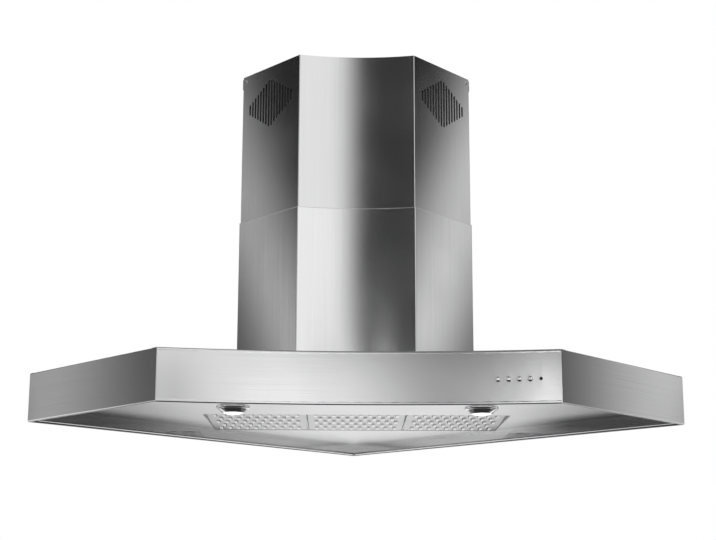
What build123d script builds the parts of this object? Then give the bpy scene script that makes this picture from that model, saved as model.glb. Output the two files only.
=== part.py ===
from build123d import *

import os
from math import asin, cos, degrees, hypot, isclose, sin, sqrt

# A chimney range hood for the corner of a kitchen: a five-sided sheet steel canopy with a hollow front,
# a two-part telescopic chimney cover, three hinged grease filters, two lamps and a centrifugal blower.
# All sizes are in millimetres. The origin is the room corner at the height of the canopy's lower rim:
# +X is to the right, +Y points into the corner, +Z is up, and the two walls run at 45 degrees to X and Y.

# Canopy casing
WALL_RUN = 1000.0  # length of the canopy along each wall
SIDE_DEPTH = 452.0  # depth of each side, square to its wall
CANOPY_HEIGHT = 106.0
FRONT_SAG = 36.0  # how far the hollow front falls behind its chord
SHEET = 1.0  # stainless sheet of the casing and the chimney covers
FOLD_RADIUS = 2.0  # inside radius of a fold
RETURN_WIDTH = 14.0  # edge folded inwards at the top
RIM_RETURN = 5.0  # edge folded inwards at the rim
HEM_HEIGHT = 9.0  # hem along the lower edge of the back panels
HEM_THICKNESS = 1.2
HEM_RADIUS = 1.0
SEAM = 0.2  # gap left between two sheets that meet
HANGER_RADIUS = 4.0
HANGER_SPACING = 600.0
HANGER_RISE = 72.0  # height of the hanger holes above the rim

# Underside
LINER_RECESS = 25.0  # height of the liner's lower face above the rim
LINER_SHEET = 1.0
LINER_UPSTAND = 6.0
LAMP_SPACING = 522.0
LAMP_SETBACK = 215.0  # from the middle of the front to the lamps
BEZEL_RADIUS = 35.5
BEZEL_FLANGE = 2.4
BEZEL_WALL = 2.0
BEZEL_CHAMFER = 1.2
BEZEL_LEDGE = 1.0  # lip that carries the lens
BEZEL_SLEEVE = 12.0  # height of the sleeve above the liner's lower face
SLEEVE_RADIUS = 29.5
LAMP_DROP = 13.0  # from the liner to the lower edge of the bezel
LENS_RADIUS = 21.5
LENS_THICKNESS = 3.0
LENS_CROWN = 2.2
LENS_LEDGE = 1.5
LAMP_CLEARANCE = 0.5
CAN_HEIGHT = 34.0
CAN_SHEET = 1.2
CAN_FLANGE = 4.0
CAPSULE_RADIUS = 4.5
CAPSULE_LENGTH = 14.0
CAPSULE_BASE = 12.0
CAPSULE_SHOULDER = 2.0

# Grease filters
FILTER_COUNT = 3
FILTER_WIDTH = 222.0
FILTER_LENGTH = 280.0
FILTER_THICKNESS = 12.0
FILTER_LIFT = 11.0  # how much higher the front edge of a filter lies than its rear edge
FILTER_GAP = 0.8  # at each side of a filter
FILTER_FRONT_GAP = 1.8
BAY_CORNER_GAP = 5.4  # from the wall to the rear corners of the frame's flange
PIVOT_OFFSET = 5.0  # from the edges of the bay to the hinge axis
PIVOT_CLEARANCE = 0.6
PIN_RADIUS = 2.0
PIN_ENGAGEMENT = 1.2
PIN_CLEARANCE = 0.1
TRAY_SHEET = 0.8
TRAY_WALL = 1.5
PIVOT_BAR = 8.0  # solid bar along the rear of a tray
MESH_THICKNESS = 8.0
MESH_SHEET = 1.0
PLEAT_COUNT = 18
MESH_CLEARANCE = 0.3
SLOT_WIDTH = 8.0
SLOT_LENGTH = 34.0
SLOT_PITCH = 20.5
SLOT_ROW_PITCH = 44.0
SLOT_COLUMNS = 10
SLOT_ROWS = 6
BAR_WIDTH = 3.0
FRAME_SHEET = 1.5
FRAME_FLANGE = 14.0
FRAME_RIM_ABOVE = 6.0  # frame wall above the highest corner of a filter
STUD_RADIUS = 2.0
NUT_RADIUS = 4.0
NUT_HEIGHT = 3.2
STUD_PROUD = 3.0
STUD_CLEARANCE = 0.3
STUD_INSET = 60.0  # from the corners of the bay to the nearest studs
CLIP_WIDTH = 24.0
CLIP_SHEET = 0.5
CLIP_LEG = 16.0
CLIP_BEAD = 0.6

# Control strip
BUTTON_RADIUS = 5.0
BUTTON_PITCH = 20.5
BUTTON_STAND = 4.5
BUTTON_EDGE = 4.0
BUTTON_DEPTH = 10.0
BUTTON_TRAVEL = 3.0
BUTTON_CLEARANCE = 0.3
BUTTON_RISE = 49.0
BUTTON_COUNT = 4
ROW_INSET = 79.5  # from the front corner to the middle of the row
PILOT_RADIUS = 3.0
PILOT_STAND = 1.5
PILOT_EDGE = 1.3
HOUSING_DEPTH = 16.0
HOUSING_HEIGHT = 22.0
HOUSING_MARGIN = 4.0
BOARD_THICKNESS = 1.6
SWITCH_RADIUS = 3.0
SWITCH_SPARE = 0.4  # room left under a button at the end of its travel

# Chimney covers
CHIMNEY_RUN = 422.0  # width of the chimney along each wall
CHIMNEY_DEPTH = 219.0
CHIMNEY_SAG = 16.0
LOWER_HEIGHT = 459.0
UPPER_EXPOSED = 395.0
UPPER_OVERLAP = 65.0  # length of the upper cover inside the lower one
NEST_GAP = 1.0  # between the two covers
REAR_FLANGE = 15.0
LOUVRE_COUNT = 16
LOUVRE_PITCH = 10.3
LOUVRE_WIDTH = 5.8
LOUVRE_SHORT = 28.0
LOUVRE_LONG = 130.0  # length that the slots grow to at the middle of the field
LOUVRE_DROP = 97.0  # from the top edge to the middle of the louvres
BRACKET_SHEET = 1.5
BRACKET_HEIGHT = 28.0
BRACKET_DROP = 4.0
BRACKET_TAB = 26.0
BRACKET_NOTCH_GAP = 4.0  # between the bracket and the flange that is cut away for it
BRACKET_HOLE_RADIUS = 3.0
BRACKET_HOLE_SPACING = 160.0
BRACKET_HOLE_SETOUT = 130.0
CLIP_HEIGHT = 20.0
CLIP_FOOT = 14.0
CLIP_BREADTH = 30.0
CLIP_GAP = 0.3

# Screws
SCREW_RADIUS = 2.0
SCREW_HEAD_RADIUS = 3.8
SCREW_HEAD = 2.2
SCREW_LENGTH = 7.0
SCREW_CLEARANCE = 0.2
COVER_SCREW_SETOUT = 15.0  # from the wall to the screw in the side of the upper cover
COVER_SCREW_DROP = 14.0

# Blower
BOX_HEIGHT = 250.0
BOX_FLANGE = 10.0
BOX_CLIP_GAP = 3.0  # from the front base clip to the flange
BOX_FRONT_GAP = 6.0  # from the front wall to the scroll
BOX_END_GAP = 6.0  # from the motor to the side wall
BOX_REAR_RIM = 2.0  # box top behind the collar's flange
BOX_SCREW_INSET = 20.0
INTAKE_LEDGE = 10.0  # ledge of the top plate inside the box
SCROLL_RISE = 110.0  # fan axis above the canopy top
SCROLL_HALF_WIDTH = 60.0
SCROLL_WALL = 2.0
SCROLL_START_GAP = 10.0
SCROLL_GROWTH = 8.0  # growth of the scroll in each quarter turn
TONGUE_OFFSET = 6.0
INLET_RADIUS = 52.0
FAN_RADIUS = 62.0
FAN_HALF_WIDTH = 50.0
BLADE_LENGTH = 11.0
BLADE_THICKNESS = 1.2
BLADE_COUNT = 36
BLADE_LEAN = 35.0
FAN_PLATE = 2.0
HUB_RADIUS = 12.0
HUB_LENGTH = 30.0
SHAFT_RADIUS = 4.0
SHAFT_FREE_END = 24.0
SHAFT_IN_MOTOR = 30.0
RUNNING_CLEARANCE = 0.05
MOTOR_RADIUS = 40.0
MOTOR_LENGTH = 42.0
MOTOR_CLEARANCE = 0.2
MOTOR_FACE_GAP = 1.0
MOTOR_EDGE = 4.0
BRACKET_RING = 2.8
BRACKET_RING_LENGTH = 12.0
BRACKET_ARM_WIDTH = 12.0
BRACKET_ARM_REACH = 66.0
BRACKET_ARM_SHEET = 2.0
BRACKET_ARMS = 3
COLLAR_RADIUS = 75.0
COLLAR_WALL = 3.0
COLLAR_HEIGHT = 90.0
COLLAR_FLANGE = 7.0
COLLAR_FLANGE_SHEET = 2.0
FLAP_RISE = 14.0  # flap axes above the collar flange
FLAP_THICKNESS = 1.2
FLAP_RIM_GAP = 1.0
FLAP_AXIS_OFFSET = 4.0
FLAP_BARREL_RADIUS = 2.4
FLAP_PIN_RADIUS = 1.8
FLAP_PIN_ENGAGEMENT = 1.6
FLAP_SEAT = 6.0
FLAP_SEAT_SHEET = 1.5
FLAP_SEAT_GAP = 0.3
FLAP_SEAT_NOTCH = 8.0

# Electrical boxes
CAPACITOR_SIZE = (28.0, 50.0, 60.0)
MODULE_SIZE = (140.0, 80.0, 38.0)
TRANSFORMER_SIZE = (110.0, 50.0, 32.0)
CASE_CORNER = 3.0
CASE_SETOUT = 300.0  # from the centre line to the boxes under the top plate
CASE_SETBACK = 105.0  # from the middle of the front to the same boxes
CAPACITOR_RISE = 60.0
GLAND_BORE = 4.5
GLAND_SHANK = 8.0
GLAND_HEAD = 12.0
GLAND_FLANGE = 6.0
GLAND_HEAD_HEIGHT = 22.0
GLAND_NUT_HEIGHT = 5.0
GLAND_SETOUT = 165.0  # from the centre line to the cable gland
GLAND_THREAD_GAP = 0.1
GLAND_THREAD_PROUD = 2.0

ROOT2 = sqrt(2)


def plan_point(along, out):
    """Plan point on the right-hand side, from its distance along the right wall and its distance off it."""
    return ((along - out) / ROOT2, -(along + out) / ROOT2)


def flip(point):
    """The same plan point on the left-hand side."""
    return (-point[0], point[1])


def arc_radius(half_chord, sag):
    """Radius of an arc from half of its chord and its sag."""
    return (half_chord**2 + sag**2) / (2 * sag)


def side_meets_arc(along, radius, centre_y):
    """Plan point where the line at `along` from the corner crosses the arc about (0, centre_y)."""
    reach = along / ROOT2
    rest = reach**2 + (reach + centre_y) ** 2 - radius**2
    step = (-centre_y - sqrt(centre_y**2 - 2 * rest)) / 2
    return (reach - step, -reach - step)


# Planes of the right-hand side: seen from above, square to the wall, and on the wall's face.
RIGHT_PLAN = Plane(origin=(0, 0, 0), x_dir=(1, -1, 0), z_dir=(0, 0, 1))
WALL_SECTION = Plane(origin=(0, 0, 0), x_dir=(-1, -1, 0), z_dir=(-1, 1, 0))
WALL_FACE = Plane(origin=(0, 0, 0), x_dir=(1, -1, 0), z_dir=(-1, -1, 0))
ALONG_WALL = Axis((0, 0, 0), (1, -1, 0))
OUT_FROM_WALL = Axis((0, 0, 0), (-1, -1, 0))

front_half_chord = (WALL_RUN - SIDE_DEPTH) / ROOT2
front_radius = arc_radius(front_half_chord, FRONT_SAG)
front_middle_y = FRONT_SAG - (WALL_RUN + SIDE_DEPTH) / ROOT2
front_centre_y = front_middle_y - front_radius
canopy_top = CANOPY_HEIGHT - SHEET  # upper face of the top plate
fold_outside = FOLD_RADIUS + SHEET
liner_top = LINER_RECESS + LINER_SHEET

chimney_half_chord = (CHIMNEY_RUN - CHIMNEY_DEPTH) / ROOT2
chimney_radius = arc_radius(chimney_half_chord, CHIMNEY_SAG)
chimney_middle_y = CHIMNEY_SAG - (CHIMNEY_RUN + CHIMNEY_DEPTH) / ROOT2
chimney_centre_y = chimney_middle_y - chimney_radius
lower_top = canopy_top + LOWER_HEIGHT
upper_top = lower_top + UPPER_EXPOSED
nest = SHEET + NEST_GAP

# The blower box takes its size from the scroll, motor and collar, and stands behind the front base clip.
scroll_radii = [FAN_RADIUS + SCROLL_START_GAP + quarter * SCROLL_GROWTH for quarter in range(4)]
scroll_setback = (TONGUE_OFFSET + scroll_radii[3]) / 2  # from the duct axis to the fan axis
motor_face = SCROLL_HALF_WIDTH + MOTOR_FACE_GAP
box_width = 2 * (motor_face + MOTOR_LENGTH + BOX_END_GAP + SHEET)
box_ahead = scroll_setback + scroll_radii[1] + BOX_FRONT_GAP + SHEET
box_behind = COLLAR_RADIUS + COLLAR_FLANGE + BOX_REAR_RIM
box_depth = box_ahead + box_behind
box_top = canopy_top + BOX_HEIGHT
clip_face = CHIMNEY_RUN - SHEET - CLIP_GAP  # outer face of a side clip, along the wall
clip_front_y = chimney_middle_y + SHEET + CLIP_GAP
clip_reach = BRACKET_SHEET + CLIP_FOOT
duct_y = clip_front_y + clip_reach + BOX_CLIP_GAP + BOX_FLANGE + box_ahead
box_centre_y = duct_y + (box_behind - box_ahead) / 2

os.makedirs("parts", exist_ok=True)


def save(piece, name):
    """Labels a finished piece and writes it to its own file."""
    piece.part.label = name
    export_step(piece.part, f"parts/{name}.step")


def strip(along_start, along_end, out_start, out_end):
    """Rectangle in the plan of the right-hand side."""
    with Locations(((along_start + along_end) / 2, -(out_start + out_end) / 2)):
        Rectangle(along_end - along_start, out_end - out_start)


def canopy_outline(inset):
    """Plan of the canopy drawn in by `inset`: two walls, two sides and the hollow front."""
    wall_end = plan_point(WALL_RUN - inset, inset)
    front_end = side_meets_arc(WALL_RUN - inset, front_radius + inset, front_centre_y)
    with BuildLine() as outline:
        Polyline(front_end, wall_end, (0, -inset * ROOT2), flip(wall_end), flip(front_end))
        ThreePointArc(flip(front_end), (0, front_middle_y + inset), front_end)
    make_face(outline.edges())


def front_band(width):
    """Plan of a band behind the hollow front, `width` deep, that ends at the side panels."""
    limit = WALL_RUN - SHEET - SEAM
    outer_end = side_meets_arc(limit, front_radius, front_centre_y)
    inner_end = side_meets_arc(limit, front_radius + width, front_centre_y)
    with BuildLine() as outline:
        ThreePointArc(flip(outer_end), (0, front_middle_y), outer_end)
        Line(outer_end, inner_end)
        ThreePointArc(inner_end, (0, front_middle_y + width), flip(inner_end))
        Line(flip(inner_end), flip(outer_end))
    make_face(outline.edges())


def cover_band(inset):
    """Plan of a chimney cover drawn in by `inset`: rear flanges, sides and hollow front in one sheet."""
    run = CHIMNEY_RUN - inset
    outer_arc = chimney_radius + inset
    flange_outer = plan_point(run - REAR_FLANGE, inset)
    wall_outer = plan_point(run, inset)
    front_outer = side_meets_arc(run, outer_arc, chimney_centre_y)
    flange_inner = plan_point(run - REAR_FLANGE, inset + SHEET)
    wall_inner = plan_point(run - SHEET, inset + SHEET)
    front_inner = side_meets_arc(run - SHEET, outer_arc + SHEET, chimney_centre_y)
    with BuildLine() as outline:
        Polyline(front_inner, wall_inner, flange_inner, flange_outer, wall_outer, front_outer)
        ThreePointArc(front_outer, (0, chimney_centre_y + outer_arc), flip(front_outer))
        Polyline(
            flip(front_outer),
            flip(wall_outer),
            flip(flange_outer),
            flip(flange_inner),
            flip(wall_inner),
            flip(front_inner),
        )
        ThreePointArc(flip(front_inner), (0, chimney_centre_y + outer_arc + SHEET), front_inner)
    make_face(outline.edges())
    inner_folds = [wall_inner, front_inner, flip(wall_inner), flip(front_inner)]
    outer_folds = [wall_outer, front_outer, flip(wall_outer), flip(front_outer)]
    return inner_folds, outer_folds


def at_points(shapes, points):
    """The vertices that lie at the given plan points."""
    return shapes.filter_by(
        lambda vertex: any(isclose(vertex.X, x) and isclose(vertex.Y, y) for x, y in points)
    )


def front_plane(place, height):
    """Plane that touches the hollow front at X = `place` and looks out of the hood."""
    turn = asin(place / front_radius)
    return Plane(
        origin=(place, front_centre_y + front_radius * cos(turn), height),
        x_dir=(cos(turn), -sin(turn), 0),
        z_dir=(-sin(turn), -cos(turn), 0),
    )


SWITCH_PLANE = front_plane(front_half_chord - ROW_INSET, BUTTON_RISE)
FRONT_CORNER = front_plane(front_half_chord, 0)
button_places = [(index - BUTTON_COUNT / 2) * BUTTON_PITCH for index in range(BUTTON_COUNT)]
pilot_place = BUTTON_COUNT / 2 * BUTTON_PITCH

# Canopy casing: the front panel fits between the side panels, with returns folded in at rim and top.
with BuildPart() as canopy_front_panel:
    with BuildSketch():
        front_band(SHEET)
    extrude(amount=CANOPY_HEIGHT)
    with BuildSketch(Plane.XY):
        front_band(RIM_RETURN)
    extrude(amount=SHEET)
    with BuildSketch(Plane.XY.offset(CANOPY_HEIGHT - SHEET)):
        front_band(RETURN_WIDTH)
    extrude(amount=SHEET)
    curves = edges().filter_by(GeomType.CIRCLE)
    fillet(curves.filter_by(lambda edge: isclose(edge.radius, front_radius + SHEET)), radius=FOLD_RADIUS)
    curves = edges().filter_by(GeomType.CIRCLE)
    fillet(curves.filter_by(lambda edge: isclose(edge.radius, front_radius)), radius=fold_outside)
    with BuildSketch(SWITCH_PLANE):
        with Locations(*[(place, 0) for place in button_places]):
            Circle(BUTTON_RADIUS + BUTTON_CLEARANCE)
        with Locations((pilot_place, 0)):
            Circle(PILOT_RADIUS + BUTTON_CLEARANCE)
    extrude(amount=RETURN_WIDTH, both=True, mode=Mode.SUBTRACT)
save(canopy_front_panel, "canopy_front_panel")

# The side panel runs from the wall to the front face, and its returns stop short of its neighbours'.
with BuildPart() as canopy_right_panel:
    with BuildSketch(RIGHT_PLAN):
        strip(WALL_RUN - SHEET, WALL_RUN, 0, SIDE_DEPTH + RETURN_WIDTH)
    extrude(amount=CANOPY_HEIGHT)
    for level, edge_return in ((0, RIM_RETURN), (CANOPY_HEIGHT - SHEET, RETURN_WIDTH)):
        with BuildSketch(RIGHT_PLAN.offset(level)):
            strip(WALL_RUN - edge_return, WALL_RUN, 0, SIDE_DEPTH + RETURN_WIDTH)
        extrude(amount=SHEET)
    folds = edges().filter_by(OUT_FROM_WALL).group_by(ALONG_WALL)
    fillet(folds[-2], radius=FOLD_RADIUS)
    folds = edges().filter_by(OUT_FROM_WALL).group_by(ALONG_WALL)
    fillet(folds[-1], radius=fold_outside)
    split(bisect_by=FRONT_CORNER, keep=Keep.BOTTOM)
    corner_turn = -degrees(asin(front_half_chord / front_radius))
    for level, edge_return in ((0, RIM_RETURN), (CANOPY_HEIGHT - fold_outside, RETURN_WIDTH)):
        with BuildSketch(Plane.XY.offset(level)):
            with Locations(plan_point(WALL_RUN, SIDE_DEPTH)):
                Rectangle(4 * edge_return, 2 * (edge_return + SEAM), rotation=corner_turn)
            with Locations(plan_point(WALL_RUN / 2 - SHEET, SIDE_DEPTH)):
                Rectangle(WALL_RUN, WALL_RUN, rotation=-45, mode=Mode.INTERSECT)
        extrude(amount=fold_outside, mode=Mode.SUBTRACT)
    with BuildSketch(RIGHT_PLAN):
        strip(WALL_RUN - 2 * RIM_RETURN, WALL_RUN - SHEET, -SHEET, SHEET + HEM_THICKNESS + SEAM)
    extrude(amount=fold_outside, mode=Mode.SUBTRACT)
    with BuildSketch(RIGHT_PLAN.offset(CANOPY_HEIGHT - fold_outside)):
        strip(WALL_RUN - 2 * RETURN_WIDTH, WALL_RUN - SHEET, -SHEET, RETURN_WIDTH + SEAM)
    extrude(amount=fold_outside, mode=Mode.SUBTRACT)
save(canopy_right_panel, "canopy_right_panel")

with BuildPart() as canopy_left_panel:
    mirror(canopy_right_panel.part, about=Plane.YZ)
save(canopy_left_panel, "canopy_left_panel")

# Each back panel lies on its wall, with a hem along its lower edge and two hanger holes.
with BuildPart() as canopy_back_right_panel:
    panel_end = WALL_RUN - SHEET - SEAM
    with BuildSketch(RIGHT_PLAN):
        strip(0, panel_end, 0, SHEET)
    extrude(amount=CANOPY_HEIGHT)
    with BuildSketch(RIGHT_PLAN):
        strip(0, panel_end, 0, SHEET + HEM_THICKNESS)
    extrude(amount=HEM_HEIGHT)
    with BuildSketch(RIGHT_PLAN.offset(CANOPY_HEIGHT - SHEET)):
        strip(0, panel_end, 0, RETURN_WIDTH)
    extrude(amount=SHEET)
    lower_edges = edges().filter_by(ALONG_WALL).group_by(Axis.Z)[0]
    fillet(lower_edges, radius=HEM_RADIUS)
    split(bisect_by=Plane.YZ, keep=Keep.TOP)
    with BuildSketch(WALL_FACE):
        with Locations((WALL_RUN / 2, HANGER_RISE)):
            with GridLocations(HANGER_SPACING, 0, 2, 1):
                Circle(HANGER_RADIUS)
    extrude(amount=SHEET, mode=Mode.SUBTRACT)
save(canopy_back_right_panel, "canopy_back_right_panel")

with BuildPart() as canopy_back_left_panel:
    mirror(canopy_back_right_panel.part, about=Plane.YZ)
save(canopy_back_left_panel, "canopy_back_left_panel")

# Top plate: lies under the top returns, with the blower's intake and the holes for screws and gland.
box_screw_y = box_depth / 2 - BOX_SCREW_INSET
box_screw_places = [
    (side * (box_width + BOX_FLANGE) / 2, box_centre_y + row * box_screw_y)
    for side in (-1, 1)
    for row in (-1, 0, 1)
]
side_clip_screw = plan_point(clip_face - CLIP_FOOT / 2 - BRACKET_SHEET, CHIMNEY_DEPTH / 2)
clip_screw_places = [
    (0, clip_front_y + CLIP_FOOT / 2 + BRACKET_SHEET),
    side_clip_screw,
    flip(side_clip_screw),
]
screw_hole = SCREW_RADIUS + SCREW_CLEARANCE

with BuildPart() as canopy_top_plate:
    with BuildSketch(Plane.XY.offset(canopy_top - SHEET)):
        canopy_outline(SHEET + FOLD_RADIUS + SEAM)
        with Locations((0, box_centre_y)):
            Rectangle(box_width - 2 * INTAKE_LEDGE, box_depth - 2 * INTAKE_LEDGE, mode=Mode.SUBTRACT)
        with Locations(*box_screw_places, *clip_screw_places):
            Circle(screw_hole, mode=Mode.SUBTRACT)
        with Locations((GLAND_SETOUT, duct_y)):
            Circle(GLAND_SHANK + GLAND_THREAD_GAP, mode=Mode.SUBTRACT)
    extrude(amount=SHEET)
save(canopy_top_plate, "canopy_top_plate")

# Filter bay: the filters hinge at their rear edge, and their front edge lies a little higher.
heel = PIVOT_OFFSET - PIVOT_CLEARANCE  # from the hinge axis to a tray's rear and lower faces
tray_reach = FILTER_LENGTH - heel
tray_top = FILTER_THICKNESS - heel
tilt = asin(FILTER_LIFT / FILTER_LENGTH)
filter_pitch = FILTER_WIDTH + 2 * FILTER_GAP + BAR_WIDTH
filter_centres = [(index - (FILTER_COUNT - 1) / 2) * filter_pitch for index in range(FILTER_COUNT)]
bar_centres = [centre + filter_pitch / 2 for centre in filter_centres[:-1]]
bay_width = FILTER_COUNT * filter_pitch - BAR_WIDTH
flange_middle = FRAME_SHEET + FRAME_FLANGE / 2
flange_reach = FRAME_SHEET + FRAME_FLANGE
bay_rear_y = -(bay_width / 2 + 2 * flange_reach + BAY_CORNER_GAP * ROOT2)
pivot_y = bay_rear_y - PIVOT_OFFSET
pivot_z = LINER_RECESS + PIVOT_OFFSET
bay_front_y = pivot_y - hypot(tray_reach, max(heel, tray_top)) - FILTER_FRONT_GAP
bay_length = bay_rear_y - bay_front_y
bay_centre_y = bay_rear_y - bay_length / 2
frame_top = pivot_z + tray_reach * sin(tilt) + tray_top * cos(tilt) + FRAME_RIM_ABOVE
lamp_y = front_middle_y + LAMP_SETBACK

# Liner: the underside of the canopy, a tray with a low upstand all round.
with BuildPart() as liner_panel:
    with BuildSketch(Plane.XY.offset(LINER_RECESS)):
        canopy_outline(SHEET + SEAM)
    extrude(amount=LINER_SHEET + LINER_UPSTAND)
    with BuildSketch(Plane.XY.offset(liner_top)):
        canopy_outline(SHEET + SEAM + LINER_SHEET)
    extrude(amount=LINER_UPSTAND, mode=Mode.SUBTRACT)
    with BuildSketch(Plane.XY.offset(LINER_RECESS)):
        with Locations((0, bay_centre_y)):
            Rectangle(bay_width, bay_length)
        with Locations((-LAMP_SPACING / 2, lamp_y), (LAMP_SPACING / 2, lamp_y)):
            Circle(SLEEVE_RADIUS + LAMP_CLEARANCE)
    extrude(amount=LINER_SHEET, mode=Mode.SUBTRACT)
save(liner_panel, "liner_panel")

# Filter frame: a wall round the bay, a bar between each two filters, and the holes of the hinge pins.
stud_x = bay_width / 2 - STUD_INSET
stud_y = bay_length / 2 - STUD_INSET
stud_places = [
    (across * stud_x, bay_centre_y + side * (bay_length / 2 + flange_middle))
    for across in (-1, 1)
    for side in (-1, 1)
] + [
    (side * (bay_width / 2 + flange_middle), bay_centre_y + row * stud_y)
    for side in (-1, 1)
    for row in (-1, 1)
]
PIVOT_SECTION = Plane(origin=(0, pivot_y, pivot_z), x_dir=(0, 1, 0), z_dir=(1, 0, 0))

with BuildPart() as filter_frame:
    with BuildSketch(Plane.XY.offset(liner_top)):
        with Locations((0, bay_centre_y)):
            Rectangle(bay_width + 2 * FRAME_SHEET, bay_length + 2 * FRAME_SHEET)
            Rectangle(bay_width, bay_length, mode=Mode.SUBTRACT)
        with Locations(*[(centre, bay_centre_y) for centre in bar_centres]):
            Rectangle(BAR_WIDTH, bay_length)
    extrude(amount=frame_top - liner_top)
    with BuildSketch(Plane.XY.offset(liner_top)):
        with Locations((0, bay_centre_y)):
            Rectangle(bay_width + 2 * flange_reach, bay_length + 2 * flange_reach)
            Rectangle(bay_width, bay_length, mode=Mode.SUBTRACT)
        with Locations(*stud_places):
            Circle(STUD_RADIUS + STUD_CLEARANCE, mode=Mode.SUBTRACT)
    extrude(amount=FRAME_SHEET)
    with BuildSketch(PIVOT_SECTION):
        Circle(PIN_RADIUS + PIN_CLEARANCE)
    extrude(amount=bay_width / 2 + FRAME_SHEET, both=True, mode=Mode.SUBTRACT)
save(filter_frame, "filter_frame")

with BuildPart() as filter_frame_nuts:
    with BuildSketch(Plane.XY.offset(liner_top)):
        with Locations(*stud_places):
            Circle(STUD_RADIUS)
    extrude(amount=FRAME_SHEET + NUT_HEIGHT + STUD_PROUD)
    with BuildSketch(Plane.XY.offset(liner_top + FRAME_SHEET)):
        with Locations(*stud_places):
            RegularPolygon(NUT_RADIUS, 6)
    extrude(amount=NUT_HEIGHT)
save(filter_frame_nuts, "filter_frame_nuts")

# Spring clips: slipped over the front wall of the frame, each with a bead that holds a filter up.
with BuildPart() as filter_spring_clips:
    inner_leg_y = bay_front_y + SEAM
    outer_leg_y = bay_front_y - FRAME_SHEET - SEAM
    bridge_z = frame_top + SEAM
    for centre in filter_centres:
        with BuildSketch(Plane.YZ.offset(centre - CLIP_WIDTH / 2)):
            with BuildLine():
                Polyline(
                    (inner_leg_y, bridge_z - CLIP_LEG),
                    (inner_leg_y, bridge_z),
                    (outer_leg_y, bridge_z),
                    (outer_leg_y, bridge_z - CLIP_LEG / 2),
                    (outer_leg_y - CLIP_SHEET, bridge_z - CLIP_LEG / 2),
                    (outer_leg_y - CLIP_SHEET, bridge_z + CLIP_SHEET),
                    (inner_leg_y + CLIP_SHEET, bridge_z + CLIP_SHEET),
                    (inner_leg_y + CLIP_SHEET, bridge_z - CLIP_LEG),
                    close=True,
                )
            make_face()
            with Locations((inner_leg_y + CLIP_SHEET, bridge_z - CLIP_LEG / 2)):
                Circle(CLIP_BEAD)
            with Locations((inner_leg_y - CLIP_BEAD, bridge_z - CLIP_LEG / 2)):
                Rectangle(2 * CLIP_BEAD, 2 * CLIP_BEAD, mode=Mode.SUBTRACT)
        extrude(amount=CLIP_WIDTH)
save(filter_spring_clips, "filter_spring_clips")


def filter_plane(centre):
    """Plane of one filter at its hinge axis: X along the hinge, Y to the rear, Z up through the tray."""
    return Plane(origin=(centre, pivot_y, pivot_z), x_dir=(1, 0, 0), z_dir=(0, sin(tilt), cos(tilt)))


def make_filter_tray(centre):
    """Perforated steel tray with a rounded heel, a solid bar at the rear and hinge pins at its ends."""
    plane = filter_plane(centre)
    pocket_length = FILTER_LENGTH - PIVOT_BAR - TRAY_WALL
    pocket_middle = heel - PIVOT_BAR - pocket_length / 2
    pin_half = FILTER_WIDTH / 2 + FILTER_GAP + PIN_ENGAGEMENT
    with BuildPart() as tray:
        with BuildSketch(plane.offset(-heel)):
            with Locations((0, heel - FILTER_LENGTH / 2)):
                Rectangle(FILTER_WIDTH, FILTER_LENGTH)
        extrude(amount=FILTER_THICKNESS)
        lower_edges = tray.edges().filter_by(Axis.X).group_by(Axis.Z)[0]
        fillet(lower_edges.sort_by(Axis.Y)[-1], radius=heel)
        with BuildSketch(plane.offset(TRAY_SHEET - heel)):
            with Locations((0, pocket_middle)):
                Rectangle(FILTER_WIDTH - 2 * TRAY_WALL, pocket_length)
        extrude(amount=FILTER_THICKNESS, mode=Mode.SUBTRACT)
        with BuildSketch(plane.offset(-heel)):
            with Locations((0, pocket_middle + SLOT_ROW_PITCH / 2)):
                with GridLocations(SLOT_PITCH, 2 * SLOT_ROW_PITCH, SLOT_COLUMNS, SLOT_ROWS // 2):
                    SlotOverall(SLOT_LENGTH, SLOT_WIDTH, rotation=90)
            with Locations((0, pocket_middle - SLOT_ROW_PITCH / 2)):
                with GridLocations(SLOT_PITCH, 2 * SLOT_ROW_PITCH, SLOT_COLUMNS - 1, SLOT_ROWS // 2):
                    SlotOverall(SLOT_LENGTH, SLOT_WIDTH, rotation=90)
        extrude(amount=TRAY_SHEET, mode=Mode.SUBTRACT)
        with BuildSketch(PIVOT_SECTION.offset(centre - pin_half)):
            Circle(PIN_RADIUS)
        extrude(amount=2 * pin_half)
    return tray


def make_filter_mesh(centre):
    """Pleated aluminium mat in the pocket of a tray, with its pleats running from front to rear."""
    width = FILTER_WIDTH - 2 * TRAY_WALL - 2 * MESH_CLEARANCE
    length = FILTER_LENGTH - PIVOT_BAR - TRAY_WALL - 2 * MESH_CLEARANCE
    rear_edge = (0, heel - PIVOT_BAR - MESH_CLEARANCE, TRAY_SHEET - heel)
    rear_end = filter_plane(centre).from_local_coords(rear_edge)
    section = Plane(origin=rear_end, x_dir=(1, 0, 0), z_dir=(0, -cos(tilt), sin(tilt)))
    steps = 2 * PLEAT_COUNT
    lower = [(width * (i / steps - 0.5), (i % 2) * (MESH_THICKNESS - MESH_SHEET)) for i in range(steps + 1)]
    upper = [(x, z + MESH_SHEET) for x, z in reversed(lower)]
    with BuildPart() as mesh:
        with BuildSketch(section):
            with BuildLine():
                Polyline(*lower, *upper, close=True)
            make_face()
        extrude(amount=length)
    return mesh


for filter_name, filter_centre in zip(("left", "middle", "right"), filter_centres):
    save(make_filter_tray(filter_centre), f"{filter_name}_filter_tray")
    save(make_filter_mesh(filter_centre), f"{filter_name}_filter_mesh")

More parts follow.
